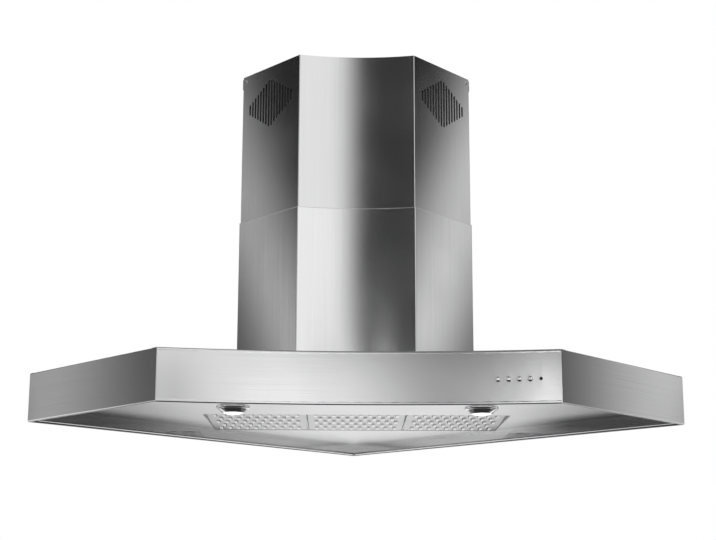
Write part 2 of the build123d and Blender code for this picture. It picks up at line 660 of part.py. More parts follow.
# Lamps: a chromed bezel through the liner, a glass lens on its ledge, and a can with a halogen capsule.
lens_bore = LENS_RADIUS + SEAM
lens_opening = LENS_RADIUS - LENS_LEDGE
lens_bottom = BEZEL_LEDGE - LAMP_DROP
sleeve_bore = SLEEVE_RADIUS - BEZEL_WALL
can_bore = SLEEVE_RADIUS + LAMP_CLEARANCE
can_radius = can_bore + CAN_SHEET
can_roof = LINER_SHEET + CAN_HEIGHT - CAN_SHEET


def lamp_section(lamp_x):
    """Upright plane through a lamp's axis, with its origin on the liner's lower face."""
    return Plane(origin=(lamp_x, lamp_y, LINER_RECESS), x_dir=(1, 0, 0), z_dir=(0, -1, 0))


def make_lamp_bezel(lamp_x):
    """Chromed ring: flange on the liner, tapered skirt, ledge for the lens and sleeve through the liner."""
    with BuildPart() as bezel:
        with BuildSketch(lamp_section(lamp_x)):
            with BuildLine():
                Polyline(
                    (SLEEVE_RADIUS, 0),
                    (BEZEL_RADIUS, 0),
                    (BEZEL_RADIUS, BEZEL_CHAMFER - BEZEL_FLANGE),
                    (BEZEL_RADIUS - BEZEL_CHAMFER, -BEZEL_FLANGE),
                    (SLEEVE_RADIUS, -BEZEL_FLANGE),
                    (lens_bore + BEZEL_WALL, -LAMP_DROP),
                    (lens_opening, -LAMP_DROP),
                    (lens_opening, lens_bottom),
                    (lens_bore, lens_bottom),
                    (lens_bore, lens_bottom + LENS_THICKNESS),
                    (sleeve_bore, -BEZEL_FLANGE),
                    (sleeve_bore, BEZEL_SLEEVE),
                    (SLEEVE_RADIUS, BEZEL_SLEEVE),
                    close=True,
                )
            make_face()
        revolve(axis=Axis((lamp_x, lamp_y, 0), (0, 0, 1)))
    return bezel


def make_lamp_lens(lamp_x):
    """Glass disc with a shallow crown that stands through the bezel's ledge."""
    crown_radius = lens_opening - SEAM
    lens_top = lens_bottom + LENS_THICKNESS
    with BuildPart() as lens:
        with BuildSketch(lamp_section(lamp_x)):
            with BuildLine():
                Polyline(
                    (0, lens_bottom - LENS_CROWN),
                    (0, lens_top),
                    (LENS_RADIUS, lens_top),
                    (LENS_RADIUS, lens_bottom),
                    (crown_radius, lens_bottom),
                )
                RadiusArc(
                    (crown_radius, lens_bottom),
                    (0, lens_bottom - LENS_CROWN),
                    arc_radius(crown_radius, LENS_CROWN),
                )
            make_face()
        revolve(axis=Axis((lamp_x, lamp_y, 0), (0, 0, 1)))
    return lens


def make_lamp_can(lamp_x):
    """Sheet can over the lamp hole, with a foot flange on the liner."""
    with BuildPart() as can:
        with BuildSketch(lamp_section(lamp_x)):
            with BuildLine():
                Polyline(
                    (can_bore, LINER_SHEET),
                    (can_radius + CAN_FLANGE, LINER_SHEET),
                    (can_radius + CAN_FLANGE, LINER_SHEET + CAN_SHEET),
                    (can_radius, LINER_SHEET + CAN_SHEET),
                    (can_radius, LINER_SHEET + CAN_HEIGHT),
                    (0, LINER_SHEET + CAN_HEIGHT),
                    (0, can_roof),
                    (can_bore, can_roof),
                    close=True,
                )
            make_face()
        revolve(axis=Axis((lamp_x, lamp_y, 0), (0, 0, 1)))
    return can


def make_lamp_capsule(lamp_x):
    """Halogen capsule with its ceramic base, hung from the roof of the can."""
    base_bottom = can_roof - CAPSULE_BASE
    tip_start = base_bottom - CAPSULE_LENGTH
    with BuildPart() as capsule:
        with BuildSketch(lamp_section(lamp_x)):
            with BuildLine():
                Polyline(
                    (0, tip_start - CAPSULE_RADIUS),
                    (0, can_roof),
                    (CAPSULE_RADIUS + CAPSULE_SHOULDER, can_roof),
                    (CAPSULE_RADIUS + CAPSULE_SHOULDER, base_bottom),
                    (CAPSULE_RADIUS, base_bottom),
                    (CAPSULE_RADIUS, tip_start),
                )
                RadiusArc((CAPSULE_RADIUS, tip_start), (0, tip_start - CAPSULE_RADIUS), CAPSULE_RADIUS)
            make_face()
        revolve(axis=Axis((lamp_x, lamp_y, 0), (0, 0, 1)))
    return capsule


for lamp_side, lamp_name in ((-1, "left"), (1, "right")):
    lamp_axis_x = lamp_side * LAMP_SPACING / 2
    save(make_lamp_bezel(lamp_axis_x), f"{lamp_name}_lamp_bezel")
    save(make_lamp_lens(lamp_axis_x), f"{lamp_name}_lamp_lens")
    save(make_lamp_can(lamp_axis_x), f"{lamp_name}_lamp_can")
    save(make_lamp_capsule(lamp_axis_x), f"{lamp_name}_lamp_capsule")

# Switch strip: a housing behind the front panel, a board with a switch under each button, and a pilot.
housing_width = BUTTON_COUNT * BUTTON_PITCH + 2 * (BUTTON_RADIUS + HOUSING_MARGIN)
housing_face = SHEET + SEAM
board_face = housing_face + HOUSING_DEPTH
switch_height = board_face - BUTTON_DEPTH - BUTTON_TRAVEL - SWITCH_SPARE

with BuildPart() as switch_housing:
    with BuildSketch(SWITCH_PLANE.offset(-housing_face)):
        Rectangle(housing_width, HOUSING_HEIGHT)
        with Locations(*[(place, 0) for place in button_places]):
            Circle(BUTTON_RADIUS + BUTTON_CLEARANCE, mode=Mode.SUBTRACT)
        with Locations((pilot_place, 0)):
            Circle(PILOT_RADIUS + BUTTON_CLEARANCE, mode=Mode.SUBTRACT)
    extrude(amount=-HOUSING_DEPTH)
save(switch_housing, "switch_housing")

with BuildPart() as switch_board:
    with BuildSketch(SWITCH_PLANE.offset(-board_face)):
        Rectangle(housing_width, HOUSING_HEIGHT)
    extrude(amount=-BOARD_THICKNESS)
    with BuildSketch(SWITCH_PLANE.offset(-board_face)):
        with Locations(*[(place, 0) for place in button_places]):
            Circle(SWITCH_RADIUS)
    extrude(amount=switch_height)
save(switch_board, "switch_board")

with BuildPart() as pilot_light:
    with BuildSketch(SWITCH_PLANE.offset(-board_face)):
        with Locations((pilot_place, 0)):
            Circle(PILOT_RADIUS)
    extrude(amount=board_face + PILOT_STAND)
    fillet(faces().sort_by(Axis.Y)[0].edges(), radius=PILOT_EDGE)
save(pilot_light, "pilot_light")


def make_button(place):
    """Chromed push button with a domed end, guided in the panel and in the switch housing."""
    with BuildPart() as button:
        with BuildSketch(SWITCH_PLANE.offset(-BUTTON_DEPTH)):
            with Locations((place, 0)):
                Circle(BUTTON_RADIUS)
        extrude(amount=BUTTON_DEPTH + BUTTON_STAND)
        fillet(button.faces().sort_by(Axis.Y)[0].edges(), radius=BUTTON_EDGE)
    return button


button_names = ("light_button", "low_speed_button", "middle_speed_button", "high_speed_button")
for button_name, button_place in zip(button_names, button_places):
    save(make_button(button_place), button_name)

# Blower: a scroll in two halves with a wheel between them, in a sheet box that stands on the top plate.
scroll_y = duct_y - scroll_setback
scroll_z = canopy_top + SCROLL_RISE
outlet_top = box_top - SHEET - scroll_z
SCROLL_PLANE = Plane(origin=(0, scroll_y, scroll_z), x_dir=(0, 1, 0), z_dir=(1, 0, 0))


def scroll_outline(inset, top):
    """Side view of the scroll drawn in by `inset`: growing quarters and a straight outlet up to `top`."""
    radii = [radius - inset for radius in scroll_radii]
    tongue = (TONGUE_OFFSET + inset, radii[0])
    corners = [tongue, (-radii[1], 0), (0, -radii[2]), (radii[3], 0)]
    turns = [(-1, 1), (-1, -1), (1, -1)]
    with BuildLine() as outline:
        for quarter, (across, up) in enumerate(turns):
            middle = (radii[quarter] + radii[quarter + 1]) / 2 / ROOT2
            ThreePointArc(corners[quarter], (across * middle, up * middle), corners[quarter + 1])
        Polyline(corners[3], (radii[3], top), (tongue[0], top), tongue)
    make_face(outline.edges())


with BuildPart() as scroll_right_half:
    with BuildSketch(SCROLL_PLANE):
        scroll_outline(0, outlet_top)
    extrude(amount=SCROLL_HALF_WIDTH)
    with BuildSketch(SCROLL_PLANE):
        scroll_outline(SCROLL_WALL, outlet_top + SCROLL_WALL)
    extrude(amount=SCROLL_HALF_WIDTH - SCROLL_WALL, mode=Mode.SUBTRACT)
    with BuildSketch(SCROLL_PLANE):
        Circle(INLET_RADIUS)
    extrude(amount=SCROLL_HALF_WIDTH, mode=Mode.SUBTRACT)
save(scroll_right_half, "scroll_right_half")

with BuildPart() as scroll_left_half:
    mirror(scroll_right_half.part, about=Plane.YZ)
save(scroll_left_half, "scroll_left_half")

with BuildPart() as fan_wheel:
    with BuildSketch(SCROLL_PLANE.offset(-FAN_HALF_WIDTH)):
        with PolarLocations(FAN_RADIUS - BLADE_LENGTH / 2, BLADE_COUNT):
            Rectangle(BLADE_LENGTH, BLADE_THICKNESS, rotation=BLADE_LEAN)
    extrude(amount=2 * FAN_HALF_WIDTH)
    for ring_start in (-FAN_HALF_WIDTH, FAN_HALF_WIDTH - FAN_PLATE):
        with BuildSketch(SCROLL_PLANE.offset(ring_start)):
            Circle(FAN_RADIUS)
            Circle(FAN_RADIUS - BLADE_LENGTH, mode=Mode.SUBTRACT)
        extrude(amount=FAN_PLATE)
    with BuildSketch(SCROLL_PLANE.offset(-FAN_PLATE / 2)):
        Circle(FAN_RADIUS)
    extrude(amount=FAN_PLATE)
    with BuildSketch(SCROLL_PLANE.offset(-HUB_LENGTH / 2)):
        Circle(HUB_RADIUS)
    extrude(amount=HUB_LENGTH)
    with BuildSketch(SCROLL_PLANE):
        Circle(SHAFT_RADIUS)
    extrude(amount=HUB_LENGTH, both=True, mode=Mode.SUBTRACT)
save(fan_wheel, "fan_wheel")

with BuildPart() as fan_shaft:
    with BuildSketch(SCROLL_PLANE.offset(-SHAFT_FREE_END)):
        Circle(SHAFT_RADIUS)
    extrude(amount=SHAFT_FREE_END + motor_face + SHAFT_IN_MOTOR)
save(fan_shaft, "fan_shaft")

with BuildPart() as motor:
    with BuildSketch(SCROLL_PLANE.offset(motor_face)):
        Circle(MOTOR_RADIUS)
    extrude(amount=MOTOR_LENGTH)
    fillet(faces().sort_by(Axis.X)[-1].edges(), radius=MOTOR_EDGE)
    with BuildSketch(SCROLL_PLANE.offset(motor_face)):
        Circle(SHAFT_RADIUS + RUNNING_CLEARANCE)
    extrude(amount=SHAFT_IN_MOTOR + MOTOR_FACE_GAP, mode=Mode.SUBTRACT)
save(motor, "motor")

# Motor bracket: a clamp ring round the motor with arms on the side plate of the scroll.
with BuildPart() as motor_bracket:
    ring_bore = MOTOR_RADIUS + MOTOR_CLEARANCE
    ring_radius = ring_bore + BRACKET_RING
    arm_start = ring_bore + BRACKET_RING / 2
    with BuildSketch(SCROLL_PLANE.offset(SCROLL_HALF_WIDTH)):
        with PolarLocations((arm_start + BRACKET_ARM_REACH) / 2, BRACKET_ARMS):
            Rectangle(BRACKET_ARM_REACH - arm_start, BRACKET_ARM_WIDTH)
    extrude(amount=BRACKET_ARM_SHEET)
    with BuildSketch(SCROLL_PLANE.offset(SCROLL_HALF_WIDTH)):
        Circle(ring_radius)
        Circle(ring_bore, mode=Mode.SUBTRACT)
    extrude(amount=BRACKET_RING_LENGTH)
save(motor_bracket, "motor_bracket")

with BuildPart() as blower_box:
    with BuildSketch(Plane.XY.offset(canopy_top)):
        with Locations((0, box_centre_y)):
            Rectangle(box_width + 2 * BOX_FLANGE, box_depth + 2 * BOX_FLANGE)
        with Locations(*box_screw_places):
            Circle(screw_hole, mode=Mode.SUBTRACT)
    extrude(amount=SHEET)
    with BuildSketch(Plane.XY.offset(canopy_top)):
        with Locations((0, box_centre_y)):
            Rectangle(box_width, box_depth)
    extrude(amount=BOX_HEIGHT)
    with BuildSketch(Plane.XY.offset(canopy_top)):
        with Locations((0, box_centre_y)):
            Rectangle(box_width - 2 * SHEET, box_depth - 2 * SHEET)
    extrude(amount=BOX_HEIGHT - SHEET, mode=Mode.SUBTRACT)
    with BuildSketch(Plane.XY.offset(box_top)):
        with Locations((0, duct_y)):
            Circle(COLLAR_RADIUS - COLLAR_WALL)
    extrude(amount=-SHEET, mode=Mode.SUBTRACT)
save(blower_box, "blower_box")

with BuildPart() as blower_box_screws:
    with BuildSketch(Plane.XY.offset(canopy_top + SHEET)):
        with Locations(*box_screw_places):
            Circle(SCREW_HEAD_RADIUS)
    extrude(amount=SCREW_HEAD)
    with BuildSketch(Plane.XY.offset(canopy_top + SHEET)):
        with Locations(*box_screw_places):
            Circle(SCREW_RADIUS)
    extrude(amount=-SCREW_LENGTH)
save(blower_box_screws, "blower_box_screws")

# Outlet collar: a spigot for the duct, with a seat and two pairs of blind holes for the backdraught flaps.
collar_bore = COLLAR_RADIUS - COLLAR_WALL
flap_z = box_top + COLLAR_FLANGE_SHEET + FLAP_RISE
seat_z = flap_z - FLAP_THICKNESS / 2 - FLAP_SEAT_GAP - FLAP_SEAT_SHEET
flap_axes = {"front_flap": -FLAP_AXIS_OFFSET, "rear_flap": FLAP_AXIS_OFFSET}
FLAP_SECTION = Plane(origin=(0, duct_y, flap_z), x_dir=(0, 1, 0), z_dir=(1, 0, 0))

with BuildPart() as outlet_collar:
    with BuildSketch(Plane.XY.offset(box_top)):
        with Locations((0, duct_y)):
            Circle(COLLAR_RADIUS + COLLAR_FLANGE)
    extrude(amount=COLLAR_FLANGE_SHEET)
    with BuildSketch(Plane.XY.offset(box_top)):
        with Locations((0, duct_y)):
            Circle(COLLAR_RADIUS)
    extrude(amount=COLLAR_HEIGHT)
    with BuildSketch(Plane.XY.offset(box_top)):
        with Locations((0, duct_y)):
            Circle(collar_bore)
    extrude(amount=COLLAR_HEIGHT, mode=Mode.SUBTRACT)
    with BuildSketch(Plane.XY.offset(seat_z)):
        with Locations((0, duct_y)):
            Circle(collar_bore)
            Circle(collar_bore - FLAP_SEAT, mode=Mode.SUBTRACT)
            Rectangle(2 * COLLAR_RADIUS, 2 * FLAP_SEAT_NOTCH, mode=Mode.SUBTRACT)
    extrude(amount=FLAP_SEAT_SHEET)
    with BuildSketch(FLAP_SECTION):
        with Locations(*[(axis, 0) for axis in flap_axes.values()]):
            Circle(FLAP_PIN_RADIUS + RUNNING_CLEARANCE)
    extrude(amount=collar_bore + FLAP_PIN_ENGAGEMENT + RUNNING_CLEARANCE, both=True, mode=Mode.SUBTRACT)
save(outlet_collar, "outlet_collar")


def make_flap(axis):
    """Backdraught flap: the part of a disc beyond its axis, with a barrel and a pin at each end of it."""
    flap_radius = collar_bore - FLAP_RIM_GAP
    beyond = flap_radius if axis > 0 else -flap_radius
    barrel_half = sqrt(flap_radius**2 - (FLAP_AXIS_OFFSET + FLAP_BARREL_RADIUS) ** 2)
    pin_half = collar_bore + FLAP_PIN_ENGAGEMENT
    with BuildPart() as flap:
        with BuildSketch(Plane.XY.offset(flap_z - FLAP_THICKNESS / 2)):
            with Locations((0, duct_y)):
                Circle(flap_radius)
            with Locations((0, duct_y + axis + beyond)):
                Rectangle(2 * flap_radius, 2 * flap_radius, mode=Mode.INTERSECT)
        extrude(amount=FLAP_THICKNESS)
        with BuildSketch(FLAP_SECTION.offset(-barrel_half)):
            with Locations((axis, 0)):
                Circle(FLAP_BARREL_RADIUS)
        extrude(amount=2 * barrel_half)
        with BuildSketch(FLAP_SECTION.offset(-pin_half)):
            with Locations((axis, 0)):
                Circle(FLAP_PIN_RADIUS)
        extrude(amount=2 * pin_half)
    return flap


for flap_name, flap_axis in flap_axes.items():
    save(make_flap(flap_axis), flap_name)

# Chimney covers: each is one folded sheet. One half is cut to shape and then mirrored.
with BuildPart() as chimney_lower_cover:
    with BuildSketch(Plane.XY.offset(canopy_top)) as lower_plan:
        inner_folds, outer_folds = cover_band(0)
        fillet(at_points(lower_plan.vertices(), inner_folds), radius=FOLD_RADIUS)
        fillet(at_points(lower_plan.vertices(), outer_folds), radius=fold_outside)
    extrude(amount=LOWER_HEIGHT)
    split(bisect_by=Plane.YZ, keep=Keep.TOP)
    with BuildSketch(RIGHT_PLAN.offset(canopy_top)):
        strip(CHIMNEY_RUN - 2 * REAR_FLANGE, CHIMNEY_RUN, 0, RETURN_WIDTH + SEAM)
    extrude(amount=SHEET + SEAM, mode=Mode.SUBTRACT)
    mirror(about=Plane.YZ)
save(chimney_lower_cover, "chimney_lower_cover")

upper_length = UPPER_EXPOSED + UPPER_OVERLAP
upper_run = CHIMNEY_RUN - nest
cover_screw_z = upper_top - COVER_SCREW_DROP
louvre_middle = (LOUVRE_COUNT - 1) / 2

with BuildPart() as chimney_upper_cover:
    with BuildSketch(Plane.XY.offset(upper_top - upper_length)) as upper_plan:
        inner_folds, outer_folds = cover_band(nest)
        fillet(at_points(upper_plan.vertices(), inner_folds), radius=FOLD_RADIUS)
        fillet(at_points(upper_plan.vertices(), outer_folds), radius=fold_outside)
    extrude(amount=upper_length)
    split(bisect_by=Plane.YZ, keep=Keep.TOP)
    with BuildSketch(WALL_SECTION.offset(-upper_run)):
        for index in range(LOUVRE_COUNT):
            step = abs(index - louvre_middle)
            length = LOUVRE_LONG - (LOUVRE_LONG - LOUVRE_SHORT) * step / louvre_middle
            louvre_out = CHIMNEY_DEPTH / 2 + (index - louvre_middle) * LOUVRE_PITCH
            with Locations((louvre_out, upper_top - LOUVRE_DROP)):
                SlotOverall(length, LOUVRE_WIDTH, rotation=90)
        with Locations((COVER_SCREW_SETOUT, cover_screw_z)):
            Circle(screw_hole)
    extrude(amount=2 * SHEET, mode=Mode.SUBTRACT)
    with BuildSketch(RIGHT_PLAN.offset(upper_top)):
        strip(upper_run - 2 * REAR_FLANGE, upper_run - SHEET, 0, nest + fold_outside)
    extrude(amount=-(BRACKET_DROP + BRACKET_HEIGHT + BRACKET_NOTCH_GAP), mode=Mode.SUBTRACT)
    mirror(about=Plane.YZ)
save(chimney_upper_cover, "chimney_upper_cover")

# Ceiling bracket: a strip on both walls with a tab at each end that takes the cover's screw.
tab_face = upper_run - SHEET - SEAM
bracket_bottom = upper_top - BRACKET_DROP - BRACKET_HEIGHT

with BuildPart() as ceiling_bracket:
    with BuildSketch(RIGHT_PLAN.offset(bracket_bottom)):
        strip(0, tab_face, 0, BRACKET_SHEET)
        strip(tab_face - BRACKET_SHEET, tab_face, 0, BRACKET_TAB)
    extrude(amount=BRACKET_HEIGHT)
    split(bisect_by=Plane.YZ, keep=Keep.TOP)
    with BuildSketch(WALL_FACE):
        with Locations((BRACKET_HOLE_SETOUT + BRACKET_HOLE_SPACING / 2, bracket_bottom + BRACKET_HEIGHT / 2)):
            with GridLocations(BRACKET_HOLE_SPACING, 0, 2, 1):
                Circle(BRACKET_HOLE_RADIUS)
    extrude(amount=BRACKET_SHEET, mode=Mode.SUBTRACT)
    with BuildSketch(WALL_SECTION.offset(-tab_face)):
        with Locations((COVER_SCREW_SETOUT, cover_screw_z)):
            Circle(screw_hole)
    extrude(amount=BRACKET_SHEET, mode=Mode.SUBTRACT)
    mirror(about=Plane.YZ)
save(ceiling_bracket, "ceiling_bracket")

with BuildPart() as upper_cover_screws:
    with BuildSketch(WALL_SECTION.offset(-upper_run)):
        with Locations((COVER_SCREW_SETOUT, cover_screw_z)):
            Circle(SCREW_HEAD_RADIUS)
    extrude(amount=-SCREW_HEAD)
    with BuildSketch(WALL_SECTION.offset(-upper_run)):
        with Locations((COVER_SCREW_SETOUT, cover_screw_z)):
            Circle(SCREW_RADIUS)
    extrude(amount=SCREW_LENGTH)
    mirror(about=Plane.YZ)
save(upper_cover_screws, "upper_cover_screws")

# Base clips: angles on the top plate, inside the front and the two sides of the lower cover.
with BuildPart() as chimney_base_clips:
    clip_start = CHIMNEY_DEPTH / 2 - CLIP_BREADTH / 2
    clip_end = CHIMNEY_DEPTH / 2 + CLIP_BREADTH / 2
    with BuildSketch(RIGHT_PLAN.offset(canopy_top)):
        strip(clip_face - clip_reach, clip_face, clip_start, clip_end)
    extrude(amount=BRACKET_SHEET)
    with BuildSketch(RIGHT_PLAN.offset(canopy_top)):
        strip(clip_face - BRACKET_SHEET, clip_face, clip_start, clip_end)
    extrude(amount=CLIP_HEIGHT)
    mirror(about=Plane.YZ)
    with BuildSketch(Plane.XY.offset(canopy_top)):
        with Locations((0, clip_front_y + clip_reach / 2)):
            Rectangle(CLIP_BREADTH, clip_reach)
    extrude(amount=BRACKET_SHEET)
    with BuildSketch(Plane.XY.offset(canopy_top)):
        with Locations((0, clip_front_y + BRACKET_SHEET / 2)):
            Rectangle(CLIP_BREADTH, BRACKET_SHEET)
    extrude(amount=CLIP_HEIGHT)
    with BuildSketch(Plane.XY.offset(canopy_top)):
        with Locations(*clip_screw_places):
            Circle(screw_hole)
    extrude(amount=BRACKET_SHEET, mode=Mode.SUBTRACT)
save(chimney_base_clips, "chimney_base_clips")

with BuildPart() as base_clip_screws:
    with BuildSketch(Plane.XY.offset(canopy_top + BRACKET_SHEET)):
        with Locations(*clip_screw_places):
            Circle(SCREW_HEAD_RADIUS)
    extrude(amount=SCREW_HEAD)
    with BuildSketch(Plane.XY.offset(canopy_top + BRACKET_SHEET)):
        with Locations(*clip_screw_places):
            Circle(SCREW_RADIUS)
    extrude(amount=-SCREW_LENGTH)
save(base_clip_screws, "base_clip_screws")


# Electrical boxes: the capacitor on the left wall of the blower box, the others under the top plate.
def make_case(centre_x, centre_y, top, size):
    """Closed box of a given width, depth and height, hung from `top`, with rounded upright edges."""
    width, depth, height = size
    with BuildPart() as case:
        with BuildSketch(Plane.XY.offset(top)):
            with Locations((centre_x, centre_y)):
                RectangleRounded(width, depth, CASE_CORNER)
        extrude(amount=-height)
    return case


capacitor_x = SHEET + CAPACITOR_SIZE[0] / 2 - box_width / 2
capacitor_top = canopy_top + CAPACITOR_RISE + CAPACITOR_SIZE[2]
case_y = front_middle_y + CASE_SETBACK
plate_bottom = canopy_top - SHEET
save(make_case(capacitor_x, scroll_y, capacitor_top, CAPACITOR_SIZE), "capacitor")
save(make_case(CASE_SETOUT, case_y, plate_bottom, MODULE_SIZE), "control_module")
save(make_case(-CASE_SETOUT, case_y, plate_bottom, TRANSFORMER_SIZE), "lamp_transformer")

# Cable gland: the inlet for the mains lead, in the top plate beside the blower box.
with BuildPart() as cable_gland:
    with BuildSketch(Plane.XY.offset(canopy_top)):
        with Locations((GLAND_SETOUT, duct_y)):
            RegularPolygon(GLAND_HEAD, 6)
    extrude(amount=GLAND_FLANGE)
    with BuildSketch(Plane.XY.offset(canopy_top)):
        with Locations((GLAND_SETOUT, duct_y)):
            Circle(GLAND_SHANK)
    extrude(amount=GLAND_HEAD_HEIGHT)
    with BuildSketch(Plane.XY.offset(canopy_top)):
        with Locations((GLAND_SETOUT, duct_y)):
            Circle(GLAND_SHANK)
    extrude(amount=-(SHEET + GLAND_NUT_HEIGHT + GLAND_THREAD_PROUD))
    with BuildSketch(Plane.XY.offset(plate_bottom)):
        with Locations((GLAND_SETOUT, duct_y)):
            RegularPolygon(GLAND_HEAD, 6)
    extrude(amount=-GLAND_NUT_HEIGHT)
    with BuildSketch(Plane.XY.offset(canopy_top)):
        with Locations((GLAND_SETOUT, duct_y)):
            Circle(GLAND_BORE)
    extrude(amount=GLAND_HEAD_HEIGHT, both=True, mode=Mode.SUBTRACT)
save(cable_gland, "cable_gland")
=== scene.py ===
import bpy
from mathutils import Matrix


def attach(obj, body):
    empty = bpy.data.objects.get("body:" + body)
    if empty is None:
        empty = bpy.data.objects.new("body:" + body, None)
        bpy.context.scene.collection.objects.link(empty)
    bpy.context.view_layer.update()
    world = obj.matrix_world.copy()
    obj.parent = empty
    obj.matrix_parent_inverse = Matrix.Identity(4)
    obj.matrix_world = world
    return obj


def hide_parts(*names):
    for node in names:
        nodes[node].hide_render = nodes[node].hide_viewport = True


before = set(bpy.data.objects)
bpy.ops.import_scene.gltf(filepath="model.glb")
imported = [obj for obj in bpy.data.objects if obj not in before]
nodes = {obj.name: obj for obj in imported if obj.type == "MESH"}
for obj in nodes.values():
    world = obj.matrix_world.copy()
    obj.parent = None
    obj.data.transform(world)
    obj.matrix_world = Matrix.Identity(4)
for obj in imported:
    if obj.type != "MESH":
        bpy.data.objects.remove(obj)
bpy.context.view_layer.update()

import math

import bpy
import numpy as np
from mathutils import Matrix, Vector

scene = bpy.context.scene


# Viewing angle: the hood is seen from in front, from a little under its rim and looking up. The lens is
# shifted a little so that the upright edges stay nearly upright.
EYE = Vector((-0.0326, -3.3713, -0.3359))
PITCH, YAW, ROLL = math.radians(10.95), math.radians(0.73), math.radians(0.16)
camera_data = bpy.data.cameras.new("photo_camera")
camera_data.sensor_width = 36.0
camera_data.lens = 62.6
camera_data.shift_y = 0.10
camera_data.clip_start, camera_data.clip_end = 0.05, 60.0
camera = bpy.data.objects.new("photo_camera", camera_data)
scene.collection.objects.link(camera)
ahead = Vector((math.sin(YAW) * math.cos(PITCH), math.cos(YAW) * math.cos(PITCH), math.sin(PITCH)))
level_right = ahead.cross(Vector((0, 0, 1))).normalized()
level_above = level_right.cross(ahead)
right = level_right * math.cos(ROLL) + level_above * math.sin(ROLL)
above = level_above * math.cos(ROLL) - level_right * math.sin(ROLL)
camera.matrix_world = Matrix.Translation(EYE) @ Matrix((right, above, -ahead)).transposed().to_4x4()
scene.camera = camera
scene.view_settings.view_transform = "Standard"


# Studio walls: a white room with a dimmer ceiling, which the camera, metal and glass see as it is, and
# which lights the hood more softly than that.
def shader(tree, kind, inputs=None, **settings):
    """One shader node. settings are its properties, and inputs gives each socket a value or a link."""
    node = tree.nodes.new("ShaderNode" + kind)
    for key, value in settings.items():
        setattr(node, key, value)
    for key, value in (inputs or {}).items():
        if isinstance(value, bpy.types.NodeSocket):
            tree.links.new(value, node.inputs[key])
        else:
            node.inputs[key].default_value = value
    return node


def worked(tree, operation, first, second=0.0):
    """The result of one sum on one or two values or links."""
    return shader(tree, "Math", {0: first, 1: second}, operation=operation).outputs[0]


def eased(tree, value, start, end, low, high):
    """low up to start, high from end on, and a smooth S-shaped step between them."""
    limits = {"Value": value, "From Min": start, "From Max": end, "To Min": low, "To Max": high}
    return shader(tree, "MapRange", limits, interpolation_type="SMOOTHSTEP").outputs[0]


world = bpy.data.worlds.new("white_room")
scene.world = world
world.use_nodes = True
room = world.node_tree
room.nodes.clear()
rays = shader(room, "LightPath").outputs
shown = worked(room, "MAXIMUM", worked(room, "MAXIMUM", rays["Is Camera Ray"], rays["Is Glossy Ray"]),
               rays["Is Transmission Ray"])
height = shader(room, "SeparateXYZ", {0: shader(room, "TexCoord").outputs["Generated"]}).outputs["Z"]
ceiling = eased(room, height, 0.5, 0.9, 1.0, 0.15)
white_wall = shader(room, "Background", {"Color": (1, 1, 1, 1), "Strength": ceiling}).outputs[0]
soft_light = shader(room, "Background", {"Color": (1, 1, 1, 1), "Strength": 0.55}).outputs[0]
either = shader(room, "MixShader", {0: shown, 1: soft_light, 2: white_wall}).outputs[0]
shader(room, "OutputWorld", {"Surface": either})


# Studio cards: printed cards that only the metal sees. The front one eases from dark to white towards the
# right and has a bright left end, and each side one carries a leaning bright strip. A dark one lies below
# the hood, and a pale one that darkens to both sides lies behind it.
SHARP_BEND = math.radians(40)


def new_material(name):
    """An empty node material, its tree, and its Object coordinates."""
    material = bpy.data.materials.new(name)
    material.use_nodes = True
    tree = material.node_tree
    tree.nodes.clear()
    return material, tree, shader(tree, "TexCoord").outputs["Object"]


def put_mesh(name, points, faces, material, smooth=True):
    """A mesh object from an array of points and the corner indices of its faces. Bends over SHARP_BEND
    stay sharp."""
    mesh = bpy.data.meshes.new(name)
    mesh.from_pydata(points.reshape(-1, 3), [], faces)
    mesh.polygons.foreach_set("use_smooth", np.full(len(mesh.polygons), smooth))
    mesh.set_sharp_from_angle(angle=SHARP_BEND)
    mesh.materials.append(material)
    piece = bpy.data.objects.new(name, mesh)
    scene.collection.objects.link(piece)
    return piece


def grid_faces(rows, columns, closed_rows=False, closed_columns=False):
    """Quads between neighbouring points of a grid. A closed direction also joins its last line to its
    first."""
    index = np.arange(rows * columns).reshape(rows, columns)
    if closed_rows:
        index = np.vstack([index, index[:1]])
    if closed_columns:
        index = np.hstack([index, index[:, :1]])
    corners = [index[:-1, :-1], index[1:, :-1], index[1:, 1:], index[:-1, 1:]]
    return np.stack(corners, -1).reshape(-1, 4)


def studio_card(name, corner, along, up, glow_of):
    """A flat card: corner, plus a share of along, plus a share of up. glow_of gives its strength at
    x, y, z."""
    material, tree, place = new_material(name + "_print")
    x, y, z = shader(tree, "SeparateXYZ", {0: place}).outputs
    light = shader(tree, "Emission", {"Color": (1, 1, 1, 1), "Strength": glow_of(tree, x, y, z)})
    shader(tree, "OutputMaterial", {"Surface": light.outputs[0]})
    share = np.linspace(0, 1, 2)
    points = np.array(corner) + share[:, None, None] * np.array(along) + share[None, :, None] * np.array(up)
    card = put_mesh(name, points, grid_faces(2, 2), material, smooth=False)
    card.visible_camera = card.visible_diffuse = card.visible_shadow = card.visible_transmission = False


def within(tree, value, low, high, edge):
    """One between low and high, easing to nothing over edge on both sides."""
    return worked(tree, "MULTIPLY", eased(tree, value, low - edge, low, 0.0, 1.0),
                  eased(tree, value, high, high + edge, 1.0, 0.0))


def blended(tree, first, second, share):
    """first where share is nothing, second where it is one."""
    return shader(tree, "Mix", {0: share, 2: first, 3: second}).outputs[0]


